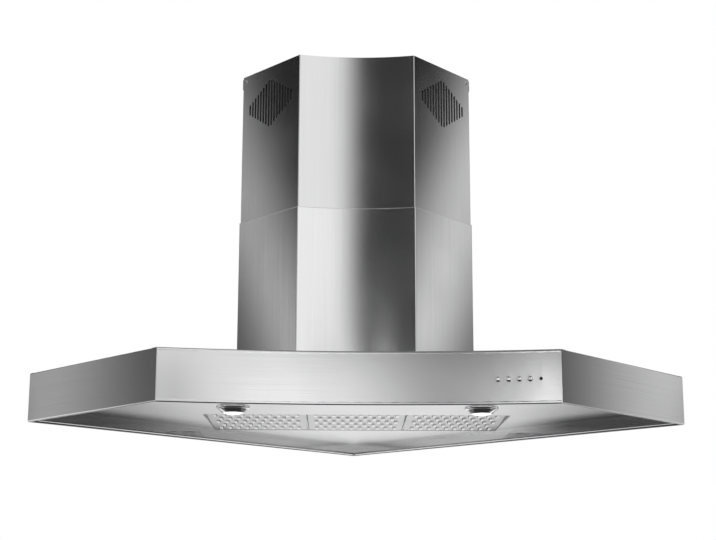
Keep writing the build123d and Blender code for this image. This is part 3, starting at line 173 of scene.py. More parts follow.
def front_print(tree, x, y, z):
    """Low down, a dark middle between a bright left end and a bright right half, which both fade further
    out. Higher up, an ease from dark at the left to white at the right. White outside the window."""
    upper = eased(tree, x, -0.50, 1.43, 0.03, 1.0)
    left_end = worked(tree, "MULTIPLY", eased(tree, x, -1.25, -0.70, 2.05, 0.15),
                      eased(tree, z, 1.40, 1.58, 1.0, 0.07))
    lower = worked(tree, "MAXIMUM", eased(tree, x, -0.50, 0.40, 0.15, 1.28), left_end)
    ends = worked(tree, "MULTIPLY", eased(tree, x, 0.85, 1.35, 1.0, 0.18),
                  eased(tree, x, -2.1, -1.6, 0.04, 1.0))
    lower = worked(tree, "MULTIPLY", lower, ends)
    printed = blended(tree, lower, upper, eased(tree, z, 1.40, 1.70, 0.0, 1.0))
    window = worked(tree, "MULTIPLY", within(tree, x, -4.3, 2.2, 0.7), eased(tree, z, 7.2, 7.9, 1.0, 0.0))
    return blended(tree, 1.0, printed, window)


STRIP_Y, STRIP_Z, STRIP_SLOPE = -0.37, 0.6, 3.0


def strip_print(rise, fade, strength, beside_end, beside_glow, foot_rise):
    """A strip that leans by STRIP_SLOPE: its glow rises over one range across it and fades over another.
    Low in front, a tone that eases backwards takes its place, and another one does at the foot. Grey
    behind the hood, and white outside the window."""
    def glow_of(tree, x, y, z):
        lean = worked(tree, "MULTIPLY", worked(tree, "SUBTRACT", y, STRIP_Y), -STRIP_SLOPE)
        across = worked(tree, "ADD", worked(tree, "SUBTRACT", z, STRIP_Z), lean)
        strip = worked(tree, "MULTIPLY", eased(tree, across, *rise, 0.08, 1.0),
                       eased(tree, across, *fade, strength, 0.005))
        beside = eased(tree, y, -0.80, beside_end, *beside_glow)
        low_front = worked(tree, "MULTIPLY", eased(tree, z, 0.42, 0.60, 1.0, 0.0),
                           eased(tree, y, -0.42, -0.30, 1.0, 0.0))
        lowest = eased(tree, z, -0.45, -0.30, 1.0, 0.0)
        foot = blended(tree, eased(tree, y, *foot_rise, 0.01, 1.25), 0.10, lowest)
        above_foot = eased(tree, z, -0.05, 0.12, 0.0, 1.0)
        body = blended(tree, foot, blended(tree, strip, beside, low_front), above_foot)
        printed = blended(tree, body, 0.14, eased(tree, y, 0.25, 0.6, 0.0, 1.0))
        window = worked(tree, "MULTIPLY", within(tree, y, -1.4, 2.0, 0.6), within(tree, z, -0.68, 2.2, 0.10))
        return blended(tree, 1.0, printed, window)
    return glow_of


def flag_print(tree, x, y, z):
    """Nearly black in the middle and paler far out and behind, over a window below the hood that reaches
    further back at both sides. Pale outside the window."""
    aside = worked(tree, "ABSOLUTE", x)
    core = eased(tree, aside, 1.2, 2.6, 0.03, 0.45)
    core = worked(tree, "MAXIMUM", core, eased(tree, y, -0.75, -0.35, 0.03, 0.14))
    wings = worked(tree, "MULTIPLY", within(tree, y, -0.5, 2.1, 0.3), eased(tree, aside, 0.75, 1.0, 0.0, 1.0))
    window = worked(tree, "MAXIMUM", within(tree, y, -2.7, 0.35, 0.35), wings)
    return blended(tree, 0.8, core, worked(tree, "MULTIPLY", within(tree, x, -3.2, 3.2, 1.2), window))


def rear_print(tree, x, y, z):
    """White in the middle, easing to dark at both sides. White outside the window."""
    sides = worked(tree, "MULTIPLY", eased(tree, x, -3.0, 0.2, 0.05, 1.12),
                   eased(tree, x, 0.3, 3.0, 1.0, 0.05))
    return blended(tree, 1.0, sides, within(tree, y, 3.6, 12.0, 0.9))


CARD_FOOT, SIDE_CARD_X = -1.1, 2.0
left_strip = strip_print(rise=(-0.55, -0.10), fade=(-0.16, 0.72), strength=0.59, beside_end=-0.36,
                         beside_glow=(0.08, 0.48), foot_rise=(-0.96, -0.58))
right_strip = strip_print(rise=(-0.90, -0.15), fade=(-0.12, 0.69), strength=0.82, beside_end=-0.40,
                          beside_glow=(0.04, 0.64), foot_rise=(-1.10, -0.02))
studio_card("front_card", (-5.2, -9.0, CARD_FOOT), (8.2, 0, 0), (0, 0, 9.1), front_print)
for name, card_x, strip in (("left_card", -SIDE_CARD_X, left_strip),
                            ("right_card", SIDE_CARD_X, right_strip)):
    studio_card(name, (card_x, -1.9, CARD_FOOT), (0, 4.6, 0), (0, 0, 3.8), strip)
studio_card("low_card", (-4.6, -6.0, CARD_FOOT), (9.2, 0, 0), (0, 8.6, 0), flag_print)
studio_card("rear_card", (-8.0, 2.6, CARD_FOOT), (16.0, 0, 0), (0, 10.6, 0), rear_print)


# Studio floor: a plain pale disc a good way under the hood, which takes its shadow and turns into the
# white of the room far out.
def noise(tree, place, scale, detail):
    """Smooth noise from nothing to one. A larger scale makes it finer, and detail adds finer layers."""
    return shader(tree, "TexNoise", {"Vector": place, "Scale": scale, "Detail": detail}).outputs["Fac"]


def dyed(tree, share, first, second):
    """The first colour where share is nothing, the second where it is one."""
    return shader(tree, "Mix", {0: share, 6: (*first, 1), 7: (*second, 1)}, data_type="RGBA").outputs[2]


FLOOR_Z, FLOOR_RADIUS, FLOOR_RINGS, FLOOR_SPOKES = -1.15, 14.0, 15, 48
material, tree, place = new_material("pale_floor")
far = shader(tree, "VectorMath", {0: place}, operation="LENGTH").outputs["Value"]
tone = dyed(tree, noise(tree, place, 1.3, 3.0), (0.80, 0.80, 0.80), (0.83, 0.83, 0.83))
paint = shader(tree, "BsdfDiffuse", {"Color": tone}).outputs[0]
bright = shader(tree, "Emission", {"Color": (1, 1, 1, 1), "Strength": 1.0}).outputs[0]
mixed = shader(tree, "MixShader", {0: eased(tree, far, 3.5, 9.0, 0.0, 1.0), 1: paint, 2: bright}).outputs[0]
shader(tree, "OutputMaterial", {"Surface": mixed})
reach, turn = np.meshgrid(np.linspace(0.01, FLOOR_RADIUS, FLOOR_RINGS),
                          np.linspace(0, 2 * np.pi, FLOOR_SPOKES, False), indexing="ij")
disc = np.stack([reach * np.cos(turn), reach * np.sin(turn), np.full_like(reach, FLOOR_Z)], -1)
put_mesh("floor", disc, grid_faces(FLOOR_RINGS, FLOOR_SPOKES, closed_columns=True), material)


# Studio lamps: two broad soft lamps above, in front at the right and behind at the left, for what isn't
# metal. The metal shows the cards instead.
LAMP_AIM = Vector((0, -0.5, 0.3))


def soft_lamp(name, place, size, power):
    """A round area lamp at place, turned to LAMP_AIM, the middle of the hood."""
    lamp = bpy.data.lights.new(name, "AREA")
    lamp.shape, lamp.size, lamp.energy = "DISK", size, power
    holder = bpy.data.objects.new(name, lamp)
    aim = (LAMP_AIM - Vector(place)).to_track_quat("-Z", "Y")
    holder.matrix_world = Matrix.Translation(Vector(place)) @ aim.to_matrix().to_4x4()
    holder.visible_glossy = False
    scene.collection.objects.link(holder)


soft_lamp("key_lamp", (2.2, -3.6, 3.2), 2.0, 75)
soft_lamp("fill_lamp", (-2.6, 1.8, 3.0), 2.0, 55)


# Canopy casing: front, two sides, two backs, top plate and liner of stainless sheet, each rubbed to a satin
# grain along its length, folded at the edges and spot welded to the next through the folds on top.
NOISE_SPAN = (0.3, 0.7)


def toned(tree, share, colour, low, high):
    """colour times low where share is nothing, and times high where it is one."""
    return dyed(tree, share, [c * low for c in colour], [c * high for c in colour])


def bumped(tree, height, strength, depth):
    """Normals of a surface that is so much deeper where height is nothing than where it is one."""
    return shader(tree, "Bump", {"Height": height, "Strength": strength, "Distance": depth}).outputs[0]


def surfaced(tree, inputs):
    """Gives the material one surface with these inputs."""
    surface = shader(tree, "BsdfPrincipled", inputs)
    shader(tree, "OutputMaterial", {"Surface": surface.outputs[0]})


def brushed_steel(name, grain, colour, roughness, worn=0.03, ends=None):
    """Sheet rubbed one way. Noise squeezed hard across the grain gives hairlines and broader streaks,
    and a large soft noise gives the faint clouds left by handling. ends scales the roughness by how far
    out along X a point is, for a sheet that was rubbed less there."""
    material, tree, place = new_material(name)
    fine_place = shader(tree, "Mapping", {"Vector": place, "Scale": grain}).outputs[0]
    broad_place = shader(tree, "Mapping", {"Vector": place, "Scale": [v * 0.2 for v in grain]}).outputs[0]
    hairlines = noise(tree, fine_place, 1.0, 3.0)
    streaks = noise(tree, broad_place, 1.0, 2.0)
    clouds = noise(tree, place, 5.0, 2.0)
    lines = worked(tree, "ADD", worked(tree, "MULTIPLY", hairlines, 0.85),
                   worked(tree, "MULTIPLY", streaks, 0.15))
    rough = worked(tree, "ADD", eased(tree, lines, *NOISE_SPAN, roughness + 0.015, roughness - 0.015),
                   eased(tree, clouds, 0.35, 0.7, -0.008, 0.015))
    if ends:
        reach = worked(tree, "ABSOLUTE", shader(tree, "SeparateXYZ", {0: place}).outputs["X"])
        rough = worked(tree, "MULTIPLY", rough, eased(tree, reach, *ends))
    tone = toned(tree, eased(tree, lines, *NOISE_SPAN, 0.0, 1.0), colour, 1 - worn, 1 + worn)
    surfaced(tree, {"Base Color": tone, "Metallic": 1.0, "Roughness": rough,
                    "Normal": bumped(tree, hairlines, 0.3, 0.00002)})
    return material


def finish_nodes(material, *names):
    """Puts one material on the named CAD nodes."""
    for name in names:
        nodes[name].data.materials.clear()
        nodes[name].data.materials.append(material)


# DARKER_STEEL is a darker tone of the same stainless, for the liner and the upper chimney cover; on the upper
# cover it is painted shade.
STEEL, DARKER_STEEL = (0.82, 0.82, 0.825), (0.75, 0.75, 0.755)
LEVEL_GRAIN, SIDEWAYS_GRAIN = (3.0, 3.0, 2400.0), (3.0, 2400.0, 2400.0)
canopy_steel = brushed_steel("canopy_steel", LEVEL_GRAIN, STEEL, 0.16)
finish_nodes(canopy_steel, "canopy_front_panel", "canopy_right_panel", "canopy_left_panel")
wall_steel = brushed_steel("wall_steel", LEVEL_GRAIN, (0.84, 0.84, 0.845), 0.08)
finish_nodes(wall_steel, "canopy_back_right_panel", "canopy_back_left_panel")
plate_steel = brushed_steel("plate_steel", SIDEWAYS_GRAIN, (0.72, 0.72, 0.725), 0.36)
finish_nodes(plate_steel, "canopy_top_plate")
liner_steel = brushed_steel("liner_steel", SIDEWAYS_GRAIN, DARKER_STEEL, 0.30, ends=(0.20, 0.50, 1.0, 0.55))
finish_nodes(liner_steel, "liner_panel")


def circle(spokes):
    """Points of a circle of radius one."""
    angle = np.linspace(0, 2 * np.pi, spokes, False)
    return np.stack([np.cos(angle), np.sin(angle)], -1)


def ringed(radius, height, outline):
    """Rings of one outline, from a point on the Z axis, out, down and back to a point on the axis: point =
    (radius times outline, height). Each end point is joined to the next ring by a fan."""
    spokes = len(outline)
    plan = np.array(radius[1:-1])[:, None, None] * outline
    rings = np.dstack([plan, np.repeat(np.array(height[1:-1])[:, None], spokes, 1)]).reshape(-1, 3)
    points = np.vstack([rings, [[0, 0, height[0]], [0, 0, height[-1]]]])
    count = len(rings)
    step = np.arange(spokes)
    onward = np.roll(step, -1)
    top = np.stack([np.full(spokes, count), step, onward], -1)
    bottom = np.stack([np.full(spokes, count + 1), count - spokes + onward, count - spokes + step], -1)
    quads = grid_faces(len(radius) - 2, spokes, closed_columns=True)
    return points, [*quads.tolist(), *top.tolist(), *bottom.tolist()]


def repeated(points, faces, origins, x_dirs, y_dirs, z_dirs):
    """Copies of one shape: each point's x, y and z are laid along that copy's own three directions."""
    axes = np.stack(np.broadcast_arrays(x_dirs, y_dirs, z_dirs, np.asarray(origins)), 1)[:, :3]
    placed = np.asarray(origins)[:, None, :] + np.einsum("pk,nkc->npc", points, axes)
    step = len(points)
    copies = [[corner + step * n for corner in face] for n in range(len(placed)) for face in faces]
    return placed.reshape(-1, 3), copies


UNTURNED = (1, 0, 0), (0, 1, 0), (0, 0, 1)
ROOT2 = math.sqrt(2)
WALL_RUN, CANOPY_TOP, WELD_INSET = 1.0, 0.106, 0.0075
FRONT_RADIUS, FRONT_CENTRE_Y, FRONT_HALF_CHORD = 2.1034, -3.0941, 0.38749
front_turn = np.linspace(-0.94, 0.94, 13) * math.asin(FRONT_HALF_CHORD / FRONT_RADIUS)
front_row = np.stack([(FRONT_RADIUS + WELD_INSET) * np.sin(front_turn),
                      FRONT_CENTRE_Y + (FRONT_RADIUS + WELD_INSET) * np.cos(front_turn)], -1)
side_out, back_along = np.linspace(0.04, 0.425, 7), np.linspace(0.06, 0.96, 13)
side_row = np.stack([WALL_RUN - WELD_INSET - side_out, -(WALL_RUN - WELD_INSET) - side_out], -1) / ROOT2
back_row = np.stack([back_along - WELD_INSET, -back_along - WELD_INSET], -1) / ROOT2
plan = np.vstack([front_row, side_row, side_row * (-1, 1), back_row, back_row * (-1, 1)])
weld_places = np.column_stack([plan, np.full(len(plan), CANOPY_TOP)])
weld_radius = [0, 0.0012, 0.0020, 0.0026, 0.0030, 0]
weld_height = [0.00002, 0.00004, 0.00022, 0.00018, -0.0001, -0.0001]
weld = ringed(weld_radius, weld_height, circle(10))
welds = put_mesh("canopy_spot_welds", *repeated(*weld, weld_places, *UNTURNED), canopy_steel)
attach(welds, "hood")


# Rubbed folds of the front panel: the sheet turns in along the rim and the top, and both folds are rubbed
# smooth by hand, a hair proud of the folded sheet.
def tube_faces(rows, columns):
    """Quads round a tube, each row of which is a ring of points, and a cap on its two end rings."""
    count = rows * columns
    caps = [list(range(columns)), list(range(count - 1, count - columns - 1, -1))]
    return [*grid_faces(rows, columns, closed_columns=True).tolist(), *caps]


def carried(profile, path):
    """A closed profile carried along an open path in plan, and capped: point = path point + out times the
    mitred right-hand side of the path, at the profile's own height. The profile runs anticlockwise."""
    path = np.asarray(path, float)
    step = np.diff(path, axis=0)
    step /= np.linalg.norm(step, axis=1, keepdims=True)
    square = np.stack([step[:, 1], -step[:, 0]], -1)
    before, after = np.vstack([square[:1], square]), np.vstack([square, square[-1:]])
    mitre = (before + after) / (1 + np.sum(before * after, axis=1, keepdims=True))
    out, height = np.asarray(profile).T
    plan = path[:, None] + out[:, None] * mitre[:, None]
    points = np.dstack([plan, np.broadcast_to(height, plan.shape[:2])]).reshape(-1, 3)
    return points, tube_faces(*plan.shape[:2])


FOLD, PROUD, BEDDED = 0.003, 0.00012, 0.0005
RIM_RETURN, STRIP_RISE, FOLD_HALF_CHORD = 0.005, 0.0065, 0.3852
inner_end = 0.0003 - RIM_RETURN
bend = np.radians(np.linspace(90, 0, 15))
fold_out = [inner_end, *(-FOLD + (FOLD + PROUD) * np.cos(bend)), PROUD, 0.0]
fold_up = [-0.00002, *(FOLD - (FOLD + PROUD) * np.sin(bend)), 0.0050, STRIP_RISE]
fold_out += [-BEDDED, *(-FOLD + (FOLD - BEDDED) * np.cos(bend[::-1])), inner_end]
fold_up += [STRIP_RISE, *(FOLD - (FOLD - BEDDED) * np.sin(bend[::-1])), BEDDED]
rim_fold = np.column_stack([fold_out, fold_up])
top_fold = np.column_stack([fold_out, CANOPY_TOP - np.array(fold_up)])[::-1]
fold_turn = np.linspace(-1, 1, 97) * math.asin(FOLD_HALF_CHORD / FRONT_RADIUS)
fold_path = np.stack([FRONT_RADIUS * np.sin(fold_turn),
                      FRONT_CENTRE_Y + FRONT_RADIUS * np.cos(fold_turn)], -1)
for name, profile in (("front_rim_fold", rim_fold), ("front_top_fold", top_fold)):
    fold = put_mesh(name, *carried(profile, fold_path), canopy_steel)
    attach(fold, "hood")


# Rolled lips: the hem of each back panel is rolled to a bead along the rim, leaning in a little, and buffed
# so that no raw edge is left for the hand. The two beads stop just short of the room corner.
edge_steel = brushed_steel("edge_steel", LEVEL_GRAIN, STEEL, 0.07)
LIP_START, LIP_END = 0.0045, 0.9965
lip_out = [0.0018, 0.0022, 0.0034, 0.0037, 0.0047, 0.0048, 0.0045, 0.0040, 0.0030, 0.0022, 0.0018]
lip_up = [0.0002, 0.0002, 0.0015, 0.0020, 0.0048, 0.0054, 0.0060, 0.0066, 0.0075, 0.0085, 0.0085]
lip = np.column_stack([lip_out, lip_up])
right_run = np.linspace(LIP_START, LIP_END, 2)[:, None] * np.array([1, -1]) / ROOT2
for name, path in (("right_rim_lip", right_run), ("left_rim_lip", right_run[::-1] * (-1, 1))):
    rim_lip = put_mesh(name, *carried(lip, path), edge_steel)
    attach(rim_lip, "hood")


# Filter bay: a zinc-plated frame behind the liner, and three stainless trays with a pleated aluminium mat in
# each. A strip is pressed out of the tray under every slot and bridges it, so grease runs off the air.
def zinc_plate(name, colour, roughness):
    """Zinc crystals are Voronoi cells with their own tone and gloss, over a slow cloud."""
    material, tree, place = new_material(name)
    flakes = shader(tree, "TexVoronoi", {"Vector": place, "Scale": 140.0, "Randomness": 1.0}).outputs["Color"]
    flake = shader(tree, "SeparateColor", {0: flakes}).outputs[0]
    clouds = noise(tree, place, 22.0, 3.0)
    mixed = worked(tree, "ADD", worked(tree, "MULTIPLY", flake, 0.6), worked(tree, "MULTIPLY", clouds, 0.4))
    gloss = eased(tree, mixed, 0.2, 0.8, roughness + 0.08, roughness - 0.06)
    surfaced(tree, {"Base Color": toned(tree, mixed, colour, 0.86, 1.1), "Metallic": 1.0, "Roughness": gloss,
                    "Normal": bumped(tree, mixed, 0.2, 0.00004)})
    return material


zinc = zinc_plate("zinc_plate", (0.62, 0.63, 0.64), 0.36)
finish_nodes(zinc, "filter_frame", "filter_frame_nuts", "filter_spring_clips")
TRAY_GRAIN = (2200.0, 3.0, 2200.0)
tray_steel = brushed_steel("tray_steel", TRAY_GRAIN, (0.58, 0.58, 0.585), 0.32, worn=0.06)
mat_aluminium = zinc_plate("mat_aluminium", (0.84, 0.84, 0.83), 0.45)
# The bridges are pressed from the tray's own sheet but carry a much paler tone than it: painted highlight.
bridge_highlight_steel = brushed_steel("bridge_highlight_steel", TRAY_GRAIN, (0.86, 0.86, 0.86), 0.28)

FILTER_LENGTH, FILTER_LIFT, FILTER_PITCH = 0.280, 0.011, 0.2266
PIVOT_Y, PIVOT_Z, PIVOT_BAR, TRAY_WALL, HEEL = -0.38204, 0.030, 0.008, 0.0015, 0.0044
TILT = math.asin(FILTER_LIFT / FILTER_LENGTH)
POCKET_MIDDLE = HEEL - PIVOT_BAR - (FILTER_LENGTH - PIVOT_BAR - TRAY_WALL) / 2
SLOT_LENGTH, SLOT_WIDTH, SLOT_PITCH, ROW_PITCH = 0.034, 0.008, 0.0205, 0.044
BRIDGE_DROP, BRIDGE_SHEET, BRIDGE_SHARE = 0.0030, 0.0008, 0.48
run = np.linspace(-1, 1, 7)[:, None]
section_x = np.array([-1, -0.6, 0.6, 1, 0.6, -0.6]) * (SLOT_WIDTH * BRIDGE_SHARE)
section_z = np.array([0.2, -0.2, -0.2, 0.2, 0.8, 0.8]) * BRIDGE_SHEET
drop = -BRIDGE_DROP * (1 - run ** 4)
bridge_grid = np.stack(np.broadcast_arrays(section_x, run * SLOT_LENGTH / 2, drop + section_z), -1)
bridge = bridge_grid.reshape(-1, 3), tube_faces(*bridge_grid.shape[:2])


def slot_rows(slots, middle):
    """Plan of three rows of slots, each centred on the tray's middle and two row pitches from the next."""
    across = (np.arange(slots) - (slots - 1) / 2) * SLOT_PITCH
    along = middle + (np.arange(3)[:, None] - 1) * 2 * ROW_PITCH
    return np.stack(np.broadcast_arrays(across, along), -1).reshape(-1, 2)


slot_plan = np.vstack([slot_rows(10, POCKET_MIDDLE + ROW_PITCH / 2),
                       slot_rows(9, POCKET_MIDDLE - ROW_PITCH / 2)])
rearward = np.array([0, math.cos(TILT), -math.sin(TILT)])
upward = np.array([0, math.sin(TILT), math.cos(TILT)])
for side, centre in (("left", -FILTER_PITCH), ("middle", 0.0), ("right", FILTER_PITCH)):
    finish_nodes(tray_steel, side + "_filter_tray")
    finish_nodes(mat_aluminium, side + "_filter_mesh")
    hinge = np.array([centre, PIVOT_Y, PIVOT_Z])
    places = hinge + slot_plan[:, :1] * np.array([1, 0, 0]) + slot_plan[:, 1:] * rearward - HEEL * upward
    shape = repeated(*bridge, places, (1, 0, 0), rearward, upward)
    bridges = put_mesh(side + "_filter_bridges", *shape, bridge_highlight_steel)
    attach(bridges, side + "_filter")


# Lamps: a chromed bezel pressed into the liner holds a frosted lens with moulded rings, and a sheet can
# behind it holds a small halogen capsule.
def polished(name, colour, roughness):
    """Plated and buffed metal: even colour, with a faint cloud in its gloss."""
    material, tree, place = new_material(name)
    clouds = noise(tree, place, 60.0, 4.0)
    gloss = eased(tree, clouds, *NOISE_SPAN, roughness, roughness + 0.04)
    surfaced(tree, {"Base Color": toned(tree, clouds, colour, 0.96, 1.03), "Metallic": 1.0,
                    "Roughness": gloss})
    return material


chrome = polished("chrome", (0.86, 0.86, 0.87), 0.05)
frosted, tree, place = new_material("frosted_lens")
grains = noise(tree, place, 900.0, 2.0)
glow = dyed(tree, grains, (1.0, 0.99, 0.96), (1.0, 1.0, 0.99))
surfaced(tree, {"Base Color": (0.93, 0.93, 0.91, 1), "Roughness": 0.35, "Emission Color": glow,
                "Emission Strength": 0.85, "Normal": bumped(tree, grains, 0.4, 0.0001)})
LAMP_X, LAMP_Y = 0.261, -0.7757
LENS_RADIUS, LENS_EDGE_Z, LENS_CROWN, RINGS, RING_DEPTH = 0.0215, 0.0130, 0.0044, 7, 0.00016
inward = np.linspace(0.985, 0.0, 57)
rings = RING_DEPTH * np.sin(np.pi * RINGS * inward) ** 2 * (inward > 0)
crown = LENS_EDGE_Z - LENS_CROWN * (1 - inward ** 2) - rings
lens_radius = [0, 0.0207, LENS_RADIUS, LENS_RADIUS, *(LENS_RADIUS * inward)]
lens_height = [0.016, 0.016, 0.0155, 0.0134, *crown]


def spun(radius, height, spokes):
    """A closed profile turned about the Z axis: point = (radius cos, radius sin, height). Its outer side
    runs down."""
    plan = np.asarray(radius)[:, None, None] * circle(spokes)
    points = np.dstack([plan, np.repeat(np.asarray(height)[:, None], spokes, 1)]).reshape(-1, 3)
    return points, grid_faces(len(radius), spokes, closed_rows=True, closed_columns=True).tolist()


FLANGE_ROUND, NOSE_ROUND = 0.0045, 0.0010
flange = np.radians(np.linspace(0, 70, 12))
nose = np.radians(np.linspace(15, 90, 6))
trim_radius = [0.0295, 0.0295, *(0.0310 + FLANGE_ROUND * np.cos(flange)), 0.0300, 0.0294,
               *(0.0232 + NOSE_ROUND * np.cos(nose)), 0.0203, 0.0200, 0.0200, 0.0217, 0.0217, 0.0275, 0.0275]
trim_height = [0.0370, 0.0250, *(0.0250 - FLANGE_ROUND * np.sin(flange)), 0.0207, 0.0202,
               *(0.0130 - NOSE_ROUND * np.sin(nose)), 0.0120, 0.0123, 0.0130, 0.0130, 0.0160, 0.0226, 0.0370]
lens_shape, trim_shape = ringed(lens_radius, lens_height, circle(48)), spun(trim_radius, trim_height, 72)
for side, sign in (("left", -1), ("right", 1)):
    finish_nodes(zinc, side + "_lamp_can")
    finish_nodes(frosted, side + "_lamp_capsule")
    spot = [[sign * LAMP_X, LAMP_Y, 0]]
    trim = put_mesh(side + "_lamp_trim", *repeated(*trim_shape, spot, *UNTURNED), chrome)
    lens = put_mesh(side + "_ribbed_lens", *repeated(*lens_shape, spot, *UNTURNED), frosted)
    for piece, finish, node in ((trim, "chrome_trim", "_lamp_bezel"), (lens, "lamp_glass", "_lamp_lens")):
        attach(piece, "hood")
        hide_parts(side + node)


# Switch row: four chromed push buttons in thin chromed collars and a dark pilot lens, in the front panel,
# with a moulded housing and a circuit board behind.
def moulded(name, colour, roughness, grain, bump_height):
    """Moulded plastic or sprayed paint: fine noise gives its grain, and a slow one its uneven tone."""
    material, tree, place = new_material(name)
    fine = noise(tree, place, grain, 2.0)
    slow = noise(tree, place, 18.0, 3.0)
    gloss = eased(tree, slow, *NOISE_SPAN, roughness - 0.05, roughness + 0.06)
    surfaced(tree, {"Base Color": toned(tree, slow, colour, 0.88, 1.12), "Roughness": gloss,
                    "Normal": bumped(tree, fine, 0.5, bump_height)})
    return material


finish_nodes(chrome, "light_button", "low_speed_button", "middle_speed_button", "high_speed_button")
black_plastic = moulded("black_plastic", (0.030, 0.030, 0.032), 0.45, 900.0, 0.0001)
finish_nodes(black_plastic, "switch_housing")
finish_nodes(moulded("pilot_lens", (0.022, 0.014, 0.014), 0.14, 300.0, 0.00002), "pilot_light")
circuit_board, tree, place = new_material("circuit_board")
tracks = shader(tree, "TexBrick", {"Vector": place, "Scale": 220.0, "Color1": (0.03, 0.20, 0.09, 1),
                                   "Color2": (0.02, 0.15, 0.07, 1), "Mortar": (0.30, 0.24, 0.10, 1)})
surfaced(tree, {"Base Color": tracks.outputs["Color"], "Roughness": 0.35})
finish_nodes(circuit_board, "switch_board")

ROW_ORIGIN = np.array([0.30799, -1.01335, 0.049])
ROW_RIGHT, ROW_IN = np.array([0.989222, -0.146424, 0]), np.array([0.146424, 0.989222, 0])
BUTTON_PITCH = 0.0205
COLLAR_RADIUS, COLLAR_HALF_WALL, COLLAR_HALF_HEIGHT, COLLAR_LIFT = 0.00565, 0.00030, 0.0004, 0.0001
collar_turn = np.linspace(0, 2 * np.pi, 12, False)
collar = spun(COLLAR_RADIUS - COLLAR_HALF_WALL * np.cos(collar_turn),
              COLLAR_LIFT + COLLAR_HALF_HEIGHT * np.sin(collar_turn), 40)
collar_places = ROW_ORIGIN + BUTTON_PITCH * np.array([-2, -1, 0, 1])[:, None] * ROW_RIGHT
collars = put_mesh("button_collars", *repeated(*collar, collar_places, ROW_RIGHT, (0, 0, 1), -ROW_IN), chrome)
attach(collars, "hood")


# Blower: a scroll in two moulded halves with its wheel, motor and bracket, in a zinc-plated box with pressed
# stiffening beads. Cross-headed screws hold the box and the chimney's base clips to the top plate.
finish_nodes(black_plastic, "scroll_right_half", "scroll_left_half", "fan_wheel", "outlet_collar",
             "front_flap", "rear_flap", "cable_gland")
finish_nodes(zinc, "blower_box", "motor_bracket", "fan_shaft", "chimney_base_clips", "ceiling_bracket")
finish_nodes(moulded("motor_paint", (0.16, 0.16, 0.17), 0.40, 400.0, 0.0001), "motor")
finish_nodes(moulded("grey_plastic", (0.50, 0.51, 0.52), 0.42, 900.0, 0.0001), "capacitor", "control_module",
             "lamp_transformer")

BOX_SIDE_X, BOX_REAR_Y = 0.110, -0.1855
BEAD_RADIUS, BEAD_RISE, BEAD_LENGTH, BEAD_Z = 0.0055, 0.0028, 0.17, 0.225


def bead_shape():
    """A pressed bead: its height is a half cosine across, and that and its width ease down at the two
    ends. Its flat back lies a little way into the sheet."""
    along, across = np.linspace(-1, 1, 15), np.linspace(1, -1, 9)
    end = np.clip((1 - np.abs(along)) / 0.12, 0, 1) ** 0.5
    x = (BEAD_RADIUS * (0.4 + 0.6 * end))[:, None] * np.array([*across, -1, 1])
    rise = BEAD_RISE * end[:, None] * np.abs(np.cos(across * np.pi / 2)) ** 1.2 - 0.0002
    z = np.hstack([rise, np.full((len(along), 2), -0.0006)])
    y = np.repeat(along[:, None] * BEAD_LENGTH / 2, x.shape[1], 1)
    return np.stack([x, y, z], -1).reshape(-1, 3), tube_faces(*x.shape)


up = np.array([0, 0, 1.0])
bead = bead_shape()
rear_places = [[x, BOX_REAR_Y, BEAD_Z] for x in (-0.075, -0.025, 0.025, 0.075)]
right_places = [[BOX_SIDE_X, y, BEAD_Z] for y in (-0.235, -0.285, -0.335)]
left_places = [[-x, y, z] for x, y, z in right_places]
for name, places, across, outward in (("rear_box_beads", rear_places, (-1, 0, 0), (0, 1, 0)),
                                      ("right_box_beads", right_places, (0, 1, 0), (1, 0, 0)),
                                      ("left_box_beads", left_places, (0, -1, 0), (-1, 0, 0))):
    beads = put_mesh(name, *repeated(*bead, places, across, up, outward), zinc)
    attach(beads, "hood")

HEAD_RADIUS, HEAD_HEIGHT, SHANK_RADIUS, SHANK_LENGTH, SHANK_TIP = 0.0038, 0.0022, 0.0018, 0.007, 0.001
CROSS_REACH, CROSS_HALF_WIDTH, CROSS_DEPTH = 0.55 * HEAD_RADIUS, 0.00042, 0.0013
BOX_SCREW_X, CLIP_TOP = 0.115, 0.1065
head_share = np.array([0, 0.1, 0.2, 0.3, 0.4, 0.5, 0.58, 0.7, 0.85, 0.95, 1.0])
head_profile = HEAD_HEIGHT * (0.45 + 0.55 * np.sqrt(1 - 0.98 * head_share ** 2))
screw_radius = [*(HEAD_RADIUS * head_share), HEAD_RADIUS, SHANK_RADIUS, SHANK_RADIUS, 0]
screw_height = [*head_profile, 0, 0, SHANK_TIP - SHANK_LENGTH, -SHANK_LENGTH]
screw, screw_faces = ringed(screw_radius, screw_height, circle(32))
from_axis = np.hypot(screw[:, 0], screw[:, 1])
off_cross = np.minimum(np.abs(screw[:, 0]), np.abs(screw[:, 1]))
in_cross = (screw[:, 2] > 0) & (from_axis < CROSS_REACH) & (off_cross < CROSS_HALF_WIDTH)
screw[:, 2] -= np.where(in_cross, CROSS_DEPTH * (1 - 0.5 * from_axis / CROSS_REACH), 0)
box_places = [[x, y, CANOPY_TOP] for x in (-BOX_SCREW_X, BOX_SCREW_X) for y in (-0.3875, -0.2965, -0.2055)]
clip_places = [[-0.21400, -0.36885, CLIP_TOP], [0.21400, -0.36885, CLIP_TOP], [0, -0.4274, CLIP_TOP]]
for name, places, node in (("box_cross_screws", box_places, "blower_box_screws"),
                           ("clip_cross_screws", clip_places, "base_clip_screws")):
    screws = put_mesh(name, *repeated(screw, screw_faces, places, *UNTURNED), zinc)
    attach(screws, "hood")
    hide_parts(node)
